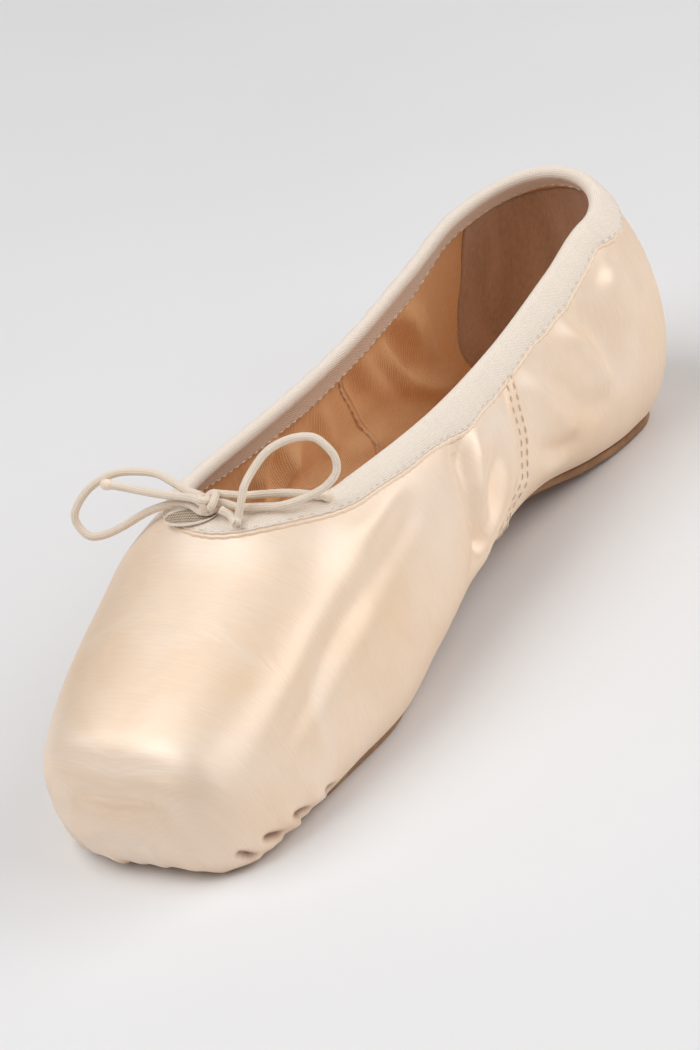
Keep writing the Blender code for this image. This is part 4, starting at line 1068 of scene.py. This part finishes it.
class POINTE_OT_lining(bpy.types.Operator):
    """Cotton lining with its seam, and the suede patch inside the heel"""

    bl_idname = "pointe.lining"
    bl_label = "Lining"

    def execute(self, context):
        cap = 4
        rows = cover_rows(8, cap, 36, 14, 60, 16)
        grids, bases = [], []
        for side in (1, -1):
            place, turn, points, normal = cover_grid(side, rows, (6, 26, 24), cap)
            bases.append(points)
            lift = fold_field(points - normal * wall(place)[..., None], LINING_FOLDS, -QUARTER_WALL)
            lift = np.maximum(lift * ease((collar_turn(place) - 0.10 - turn) / 0.2), -0.4 * MM)
            inner = points - normal * (wall(place) + lift - drape(points, place, turn))[..., None]
            grids.append((inner, girth_map(points, place), {"flip": side > 0}))
        close_halves(bases, [grid[0] for grid in grids])
        made = grid_object("cotton_lining", grids, finish_of("lining"))
        shell = made.modifiers.new("cloth_thickness", "SOLIDIFY")
        shell.thickness, shell.offset = LINING_THICKNESS, -1.0
        keep(made)
        self.patch()
        self.seams()
        return {"FINISHED"}

    def patch(self):
        """Suede patch: a sheet over the lining from one front edge round the back to the other."""
        rise = np.linspace(0, 1, 30)
        spots = np.array(PATCH_EDGE)
        edge = smooth_path(spots * (MM, 0.03), 0.0008) / (1.0, 0.03)
        around = np.linspace(-1, 1, 61)
        turn_share = 0.42 + rise * 1.0
        front = np.interp(turn_share, edge[::-1, 1], edge[::-1, 0]) / LENGTH
        place = front[None] + (1 - front[None]) * (1 - np.abs(around)[:, None])
        side = np.broadcast_to(np.where(around < 0, -1.0, 1.0)[:, None], place.shape)
        top = collar_turn(place) - 0.10
        turn = 0.42 + rise[None] * (top - 0.42)
        skin = skin_point(place, turn, side, np.zeros_like(turn))
        low = skin_point(place, turn, side, drape(skin, place, turn) - wall(place) - 0.00035)
        length = np.abs(around)[:, None] * 6.0
        chart = np.stack(np.broadcast_arrays(length * np.sign(around)[:, None], turn * 3.2), axis=-1)
        made = grid_object("suede_heel_patch", [(low, chart, {"flip": True})], finish_of("suede"), weld=0)
        shell = made.modifiers.new("hide_thickness", "SOLIDIFY")
        shell.thickness, shell.offset = 0.0006, 1.0
        keep(made)

    def seams(self):
        """Lining seam on either side: a narrow ridge with a row of stitches."""
        grids, threads = [], []
        for side in (1, -1):
            place, turn, line = surface_line(LINING_SEAM, side, 0.0008, 0.0)
            flank = np.full_like(place, side)
            up = -normals(place, turn, flank)
            skin = skin_point(place, turn, flank, np.zeros_like(place))
            base = skin + up * (wall(place) + 0.0001 - drape(skin, place, turn))[:, None]
            across = unit(np.cross(unit(np.gradient(base, axis=0)), up))
            profile = [(-1.5, -0.2), (-1.2, 0.22), (-0.3, 0.34), (0.0, -0.02), (0.3, 0.34), (1.2, 0.22), (1.5, -0.2)]
            grid, chart = strip_grid(base, up, across, np.array(profile) * MM)
            grids.append((grid, chart, TUBE))
            threads += stitch_grids(base + up * 0.0003 + across * 0.0009, up)
        keep(turn_outward(grid_object("lining_seams", grids, finish_of("lining"), weld=0)))
        keep(turn_outward(grid_object("lining_stitches", threads, finish_of("thread"), weld=0)))


# ---------------------------------------------------------------- binding


def tape_distance(station, count):
    """How far the tape reaches down at each station: a sum of slow waves and a few listed gathers."""
    turn = station / count * 2 * math.pi
    wander = 0.5 * np.sin(5 * turn + 0.6) + 0.35 * np.sin(9 * turn + 2.1) + 0.2 * np.sin(17 * turn)
    gathers = 0.0
    for spot, size in ((0.205, 1.0), (0.30, -0.9), (0.345, 0.9), (0.405, -1.3), (0.44, 1.0), (0.60, -1.1),
                       (0.70, 0.8)):
        gathers = gathers + size * np.exp(-((station / count - spot) / 0.012) ** 2)
    return wander + gathers


class POINTE_OT_binding(bpy.types.Operator):
    """Folded tape round the collar, the satin ridge under it and its stitches"""

    bl_idname = "pointe.binding"
    bl_label = "Binding"

    def execute(self, context):
        sizes = sizes_of()
        place, turn, side = collar_stations(56, 210, 56)
        count = len(place)
        down = downward(place, turn, side)
        edge = last_point(place, turn, side)
        normal = normals(place, turn, side)
        thick = wall(place)
        wander = tape_distance(np.arange(count), count) * sizes.tape_wave

        def leg(distance, height, inside=False):
            there, round_to = march(place, turn, side, down, np.broadcast_to(distance, (count,)))
            depth = -wall(there) - height if inside else height
            return last_point(there, round_to, side) + normals(there, round_to, side) * np.broadcast_to(
                depth, (count,))[:, None]

        def over(angle, clearance):
            radius = thick / 2 + clearance
            return (edge - down * (radius * math.sin(angle))[:, None]
                    + normal * (radius * math.cos(angle) - thick / 2)[:, None])

        width = np.interp(place, (0.283, 0.31, 0.36, 0.42, 0.48, 0.64, 0.76, 0.90, 1.0),
                          np.array((4.6, 4.3, 4.4, 5.2, 5.8, 6.1, 6.4, 6.0, 6.4)) * MM)
        run = arc_lengths(edge)
        scallop = 0.22 * MM * np.abs(np.sin(run * math.pi / (sizes.stitch_length + sizes.stitch_gap)))
        reach = width + wander + scallop
        inward = np.interp(place, (0.0, 0.36, 0.45, 0.80, 0.93, 1.0),
                           np.array((8.5, 8.5, 10.0, 9.6, 5.0, 4.6)) * MM) + 0.6 * wander
        ripple = 0.12 * MM * np.sin(np.arange(count) / count * 2 * math.pi * 38)
        outer = [leg(reach * share, 0.0002 + (0.00095 * crown) + ripple * crown)
                 for share, crown in ((1.0, 0.10), (0.99, 0.66), (0.95, 0.80), (0.90, 0.78), (0.82, 0.98),
                                      (0.70, 1.1), (0.52, 1.2), (0.34, 1.15), (0.16, 1.05), (0.0, 0.98))]
        bends = [over(math.radians(degrees), 0.00100) for degrees in (22, 45, 68, 90, 112, 135, 158)]
        inner = [leg(inward * share, 0.00095, inside=True) for share in (0.0, 0.33, 0.66, 0.9)]
        inner += [leg(inward, height, inside=True) for height in (0.0007, 0.0002)]
        back = [leg(inward * share, 0.0002, inside=True) for share in (0.9, 0.45, 0.0)]
        back += [over(math.radians(degrees), 0.0002) for degrees in (135, 90, 45)]
        back += [leg(reach * share, 0.0001) for share in (0.0, 0.5, 0.95)]
        grid = np.stack(outer + bends + inner + back, axis=1)
        across = np.swapaxes(arc_lengths(np.swapaxes(grid, 0, 1)), 0, 1)
        chart = np.stack(np.broadcast_arrays(across * 100, arc_lengths(edge)[:, None] * 100), axis=-1)
        tape = grid_object("binding_tape", [(grid, chart, RING)], finish_of("tape"), weld=0)
        keep(turn_outward(tape), ["collar_binding"])

        ridge = [leg(reach + offset, height) for offset, height in (
            (-0.0004, -0.0003), (-0.0002, 0.0003), (0.0002, 0.0006), (0.0006, 0.0005), (0.0009, 0.0002),
            (0.0012, -0.0004))]
        grid = np.stack(ridge, axis=1)
        chart = np.stack(np.broadcast_arrays(np.linspace(0, 0.3, 6)[None], arc_lengths(edge)[:, None] * 100), axis=-1)
        made = grid_object("satin_ridge", [(grid, chart, RING)], finish_of("satin"), weld=0)
        keep(turn_outward(made))

        threads = []
        for at, height, inside in ((reach - 0.0006, 0.0008, False), (inward - 0.0012, 0.0010, True)):
            line = leg(at, height, inside)
            up = normals(*march(place, turn, side, down, at), side) * (-1 if inside else 1)
            threads += stitch_grids(np.vstack([line, line[:1]]), np.vstack([up, up[:1]]))
        keep(turn_outward(grid_object("binding_stitches", threads, finish_of("thread"), weld=0)))
        self.casing()
        return {"FINISHED"}

    def casing(self):
        """Opening of the casing at the throat: a lens of gauze between two rolled lips."""
        share = np.linspace(-1, 1, 41)
        start = knot_place()
        x = start[0] - 0.0062 + share * 0.0072
        middle = THROAT * LENGTH - 0.0008 + 0.0003 * share - 0.0004 * (1 - share ** 2)
        half = 0.0024 * np.sqrt(np.maximum(1 - share ** 2, 0.0)) ** 1.1
        over = np.linspace(-1, 1, 11)

        def spot(across_x, ahead, height):
            """Point over the vamp at an X and a distance from the toe, found from the section's upper quarter."""
            at = np.asarray(ahead) / LENGTH
            sizes = last_sizes(at)
            curve = place_point(sizes, 1.0, np.zeros_like(at), np.zeros_like(at))[..., 0]
            away = np.clip((across_x - curve) / sizes["half"], -0.95, 0.95)
            flank = np.where(away < 0, -1.0, 1.0)
            reach = np.abs(away)
            angle = 1 + np.arctan2((1 - reach ** sizes["high"]) ** (1 / sizes["high"]), reach) * 2 / math.pi
            return skin_point(at, angle, flank, np.broadcast_to(height, at.shape))

        ahead = middle[:, None] + half[:, None] * over[None]
        base = spot(np.broadcast_to(x[:, None], ahead.shape), ahead, 0.00185 - 0.0002 * (1 - over[None] ** 2))
        chart = np.stack(np.broadcast_arrays(x[:, None] * 100, ahead * 100), axis=-1)
        gauze = grid_object("casing_gauze", [(base, chart, {})], finish_of("gauze"))
        if gauze.data.polygons[200].normal.z < 0:
            gauze.data.flip_normals()
        shell = gauze.modifiers.new("cloth_thickness", "SOLIDIFY")
        shell.thickness, shell.offset = 0.0003, -1.0
        keep(gauze)
        grids = []
        for way, fat in ((-1, 0.00036), (1, 0.00028)):
            line = spot(x, middle + way * (half + 0.0001), 0.00180)
            radius = fat * np.maximum(1 - share ** 4, 0.04) ** 0.5
            grid, chart = tube_grid(line, radius, 10)
            grids.append((grid, chart, TUBE))
        keep(turn_outward(grid_object("casing_lips", grids, finish_of("tape"), weld=0)))


# ---------------------------------------------------------------- seams and strip


class POINTE_OT_seams(bpy.types.Operator):
    """Lapped side seams, the strip up the back of the heel and their stitches"""

    bl_idname = "pointe.seams"
    bl_label = "Seams and back strip"

    def execute(self, context):
        grids, threads = [], []
        for side in (1, -1):
            place, turn, _ = surface_line(SIDE_SEAM, side, 0.0007)
            under_tape = turn < collar_turn(place) - 0.02
            place, turn = place[under_tape], turn[under_tape]
            flank = np.full_like(place, side)
            up = normals(place, turn, flank)
            base = skin_point(place, turn, flank, np.zeros_like(place))
            base = base + up * drape(base, place, turn)[:, None]
            across = unit(np.cross(unit(np.gradient(base, axis=0)), up))
            across *= np.sign(across[:, 1:2])
            profile = np.array([(-2.6, -0.25), (-2.2, 0.05), (-1.2, 0.26), (0.0, 0.34), (1.2, 0.42), (2.0, 0.60),
                                (2.35, 0.52), (2.5, 0.25), (2.5, -0.25)]) * MM
            grid, chart = strip_grid(base, up, across, profile)
            grids.append((grid, chart, TUBE))
            for offset, height in ((-0.4, 0.36), (1.7, 0.60)):
                threads += stitch_grids(base + across * offset * MM + up * height * MM, up)
        keep(turn_outward(grid_object("side_seam_laps", grids, finish_of("satin"), weld=0)))
        threads += self.strip()
        keep(turn_outward(grid_object("seam_stitches", threads, finish_of("thread"), weld=0)))
        return {"FINISHED"}

    def strip(self):
        """Back strip: a thin band over the heel, raised at its lapped edge, and the threads along both edges."""
        swing = math.asin(STRIP_HALF / HEEL_DEPTH)
        reach = swing * 2 / math.pi * (1 - HEEL_AXIS)
        lean = np.linspace(-1, 1, 33)
        place, side = 1 - reach * np.abs(lean), np.where(lean < 0, -1.0, 1.0)
        sizes = last_sizes(place)
        start = turn_at(sizes, sizes["flat"] + SOLE_OVERHANG + 0.0010)
        edge_turn = collar_turn(place)
        run = np.gradient(last_point(place, edge_turn, side), axis=0)
        down = unit(np.cross(normals(place, edge_turn, side), run))
        end_place, end_turn = march(place, edge_turn, side, down, np.full(len(place), BINDING_OUTSIDE - 0.0006))
        rise = np.linspace(0, 1, 60)
        turn = start[:, None] + rise * (end_turn - start)[:, None]
        spot = place[:, None] + rise * (end_place - place)[:, None]
        half = np.broadcast_to(side[:, None], turn.shape)
        lap = (0.30 + 0.35 * np.exp(-((lean - 0.84) / 0.10) ** 2)
               + 0.12 * np.exp(-((lean + 0.86) / 0.08) ** 2)) * MM
        ends = 1 - 0.75 * ((np.abs(lean) > 0.985) & (lean < 0))
        high = skin_point(spot, turn, half, np.broadcast_to((0.00035 + lap * ends)[:, None], turn.shape))
        low = skin_point(spot, turn, half, np.full(turn.shape, -0.0002))
        grid = np.concatenate([high, low[::-1]], axis=0)
        chart = np.stack(np.broadcast_arrays(np.linspace(0, 3.6, len(grid))[:, None], rise[None] * 4.8), axis=-1)
        made = grid_object("back_strip", [(np.swapaxes(grid, 0, 1), np.swapaxes(chart, 0, 1), TUBE)],
                           finish_of("satin"), weld=0)
        keep(turn_outward(made), ["heel_back_strip"])
        threads = []
        for column in (3, 29):
            threads += stitch_grids(high[column], normals(spot[column], turn[column], half[column]))
        return threads


# ---------------------------------------------------------------- sole


class POINTE_OT_sole(bpy.types.Operator):
    """Leather outsole, scored under the forefoot and nailed along the middle, and the insole board"""

    bl_idname = "pointe.sole"
    bl_label = "Sole"

    def execute(self, context):
        front = round_rows(SOLE_FRONT, SOLE_CORNER, 14)
        middle = np.linspace(front[-1], HEEL_AXIS, 300)[1:]
        heel = np.linspace(HEEL_AXIS, 1.0, 40)[1:]
        place = np.concatenate([front, middle, heel])
        sizes = last_sizes(place)
        lead = np.clip(1 - (place - SOLE_FRONT) * LENGTH / SOLE_CORNER, 0.0, 1.0)
        full = (sizes["flat"] + SOLE_OVERHANG) * (1 - lead ** 3) ** (1 / 3)
        thin = np.clip((place - SOLE_FRONT) * LENGTH / SKIVE_LENGTH, 0.0, 1.0)
        thickness = SOLE_FRONT_THICKNESS + thin * (SOLE_THICKNESS - SOLE_FRONT_THICKNESS)
        bottom = sizes["bottom"] - SOLE_GAP - thickness
        bevel = np.minimum(0.0012, full)

        def top(across):
            turn = np.clip(turn_at(sizes, across), 0.0, 1.0)
            cosine = quarter(turn, sizes["low"])[1]
            return sizes["level"] - (sizes["level"] - sizes["bottom"]) * cosine - SOLE_GAP

        upper = [(share * full, top(share * full)) for share in (0.0, 0.5, 0.85, 0.97)]
        side_line = [(full, top(full) - 0.0002), (full, bottom + 0.0009), (full - 0.2 * bevel, bottom + 0.0004),
                     (full - 0.55 * bevel, bottom + 0.00012)]
        lower = [(share * (full - bevel), bottom) for share in np.linspace(1.0, 0.0, 60)]
        profile = upper + side_line + lower
        grids = []
        for side in (1, -1):
            points = np.stack([place_point(sizes, side, across, z) for across, z in profile], axis=1)
            cut = self.scoring(points, len(upper) + len(side_line))
            points[..., 2] += cut * 0.00022
            across = np.stack([across for across, _ in profile], axis=1)
            chart = np.stack(np.broadcast_arrays(across * 100 * side, place[:, None] * LENGTH * 100), axis=-1)
            grids.append((points, chart, {"flip": side > 0, "mark": cut}))
        made = turn_outward(grid_object("leather_outsole", grids, [finish_of("leather"), finish_of("edge")],
                                        marks="cut"))
        self.paint_edge(made)
        keep(made, ["outsole"])
        self.nails()
        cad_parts["insole"].data.materials.clear()
        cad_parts["insole"].data.materials.append(finish_of("sock"))
        return {"FINISHED"}

    def scoring(self, points, first):
        """Depth of the crossed lines scored by hand in the forefoot: two families of slightly bowed lines."""
        spacing = sizes_of().score_spacing
        x, y = points[..., 0], points[..., 1] + LENGTH / 2
        one = (y * 0.62 + x * 0.78 + 0.006 * np.sin(x * 60 + 0.4)) / spacing
        two = (y * 0.62 - x * 0.78 + 0.006 * np.sin(x * 55 + 1.9)) / spacing
        near = np.minimum(np.abs(one - np.round(one)), np.abs(two - np.round(two))) * spacing
        cut = 1 - ease((near - 0.00018) / 0.00038)
        area = ease((y - 0.034) / 0.003) * ease((0.122 - y) / 0.004)
        cut = cut * area
        cut[:, :first + 1] = 0.0
        return cut

    def paint_edge(self, made):
        """Second material on the cut side of the leather: faces that look sideways."""
        tilt = np.zeros(len(made.data.polygons) * 3)
        made.data.polygons.foreach_get("normal", tilt)
        made.data.polygons.foreach_set("material_index", (np.abs(tilt.reshape(-1, 3)[:, 2]) < 0.6).astype(np.int32))

    def nails(self):
        """Small nail heads along the middle: low domes from a half circle turned round its own axis."""
        grids = []
        around, rise = np.meshgrid(np.linspace(0, 2 * math.pi, 12, endpoint=False), np.linspace(0.02, 1, 5),
                                   indexing="xy")
        for x, ahead in ((-0.006, 0.048), (0.008, 0.050), (0.001, 0.074), (0.0, 0.098), (0.0, 0.126), (0.0, 0.150),
                         (-0.004, 0.196), (0.005, 0.197), (0.0005, 0.212)):
            sizes = last_sizes(np.array(ahead / LENGTH))
            centre = place_point(sizes, 1.0, np.array(x), sizes["bottom"] - SOLE_GAP - SOLE_THICKNESS)
            radius = 0.00055 * rise
            dome = np.stack([centre[0] + radius * np.cos(around), centre[1] + radius * np.sin(around),
                             centre[2] + 0.00004 + 0.0002 * rise ** 2], axis=-1)
            grids.append((dome, np.stack([around, rise], axis=-1) * 0.1, TUBE))
        keep(turn_outward(grid_object("sole_nails", grids, finish_of("nail"), weld=0)))


# ---------------------------------------------------------------- panel and main


STEPS = ("stage", "drawstring", "upper", "lining", "binding", "seams", "sole")


class POINTE_PT_panel(bpy.types.Panel):
    """Lists the pieces and their settings"""

    bl_idname = "POINTE_PT_panel"
    bl_label = "Pointe shoe"
    bl_space_type = "VIEW_3D"
    bl_region_type = "UI"
    bl_category = "Pointe shoe"

    def draw(self, context):
        column = self.layout.column(align=True)
        for step in STEPS:
            column.operator("pointe." + step)
        for group in (context.scene.pointe_sizes, context.scene.pointe_colours):
            box = self.layout.box()
            for key in group.bl_rna.properties.keys():
                if key not in ("rna_type", "name"):
                    box.prop(group, key)


CLASSES = (PointeSizes, PointeColours, POINTE_OT_stage, POINTE_OT_drawstring, POINTE_OT_upper, POINTE_OT_lining,
           POINTE_OT_binding, POINTE_OT_seams, POINTE_OT_sole, POINTE_PT_panel)


def register():
    """Register the classes and hang the settings on the scene."""
    for one in CLASSES:
        bpy.utils.register_class(one)
    bpy.types.Scene.pointe_sizes = bpy.props.PointerProperty(type=PointeSizes)
    bpy.types.Scene.pointe_colours = bpy.props.PointerProperty(type=PointeColours)


def unregister():
    """Undo register."""
    del bpy.types.Scene.pointe_sizes
    del bpy.types.Scene.pointe_colours
    for one in reversed(CLASSES):
        bpy.utils.unregister_class(one)


def main():
    """Build every piece in order."""
    register()
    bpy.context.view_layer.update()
    for step in STEPS:
        getattr(bpy.ops.pointe, step)()


if __name__ == "__main__":
    main()
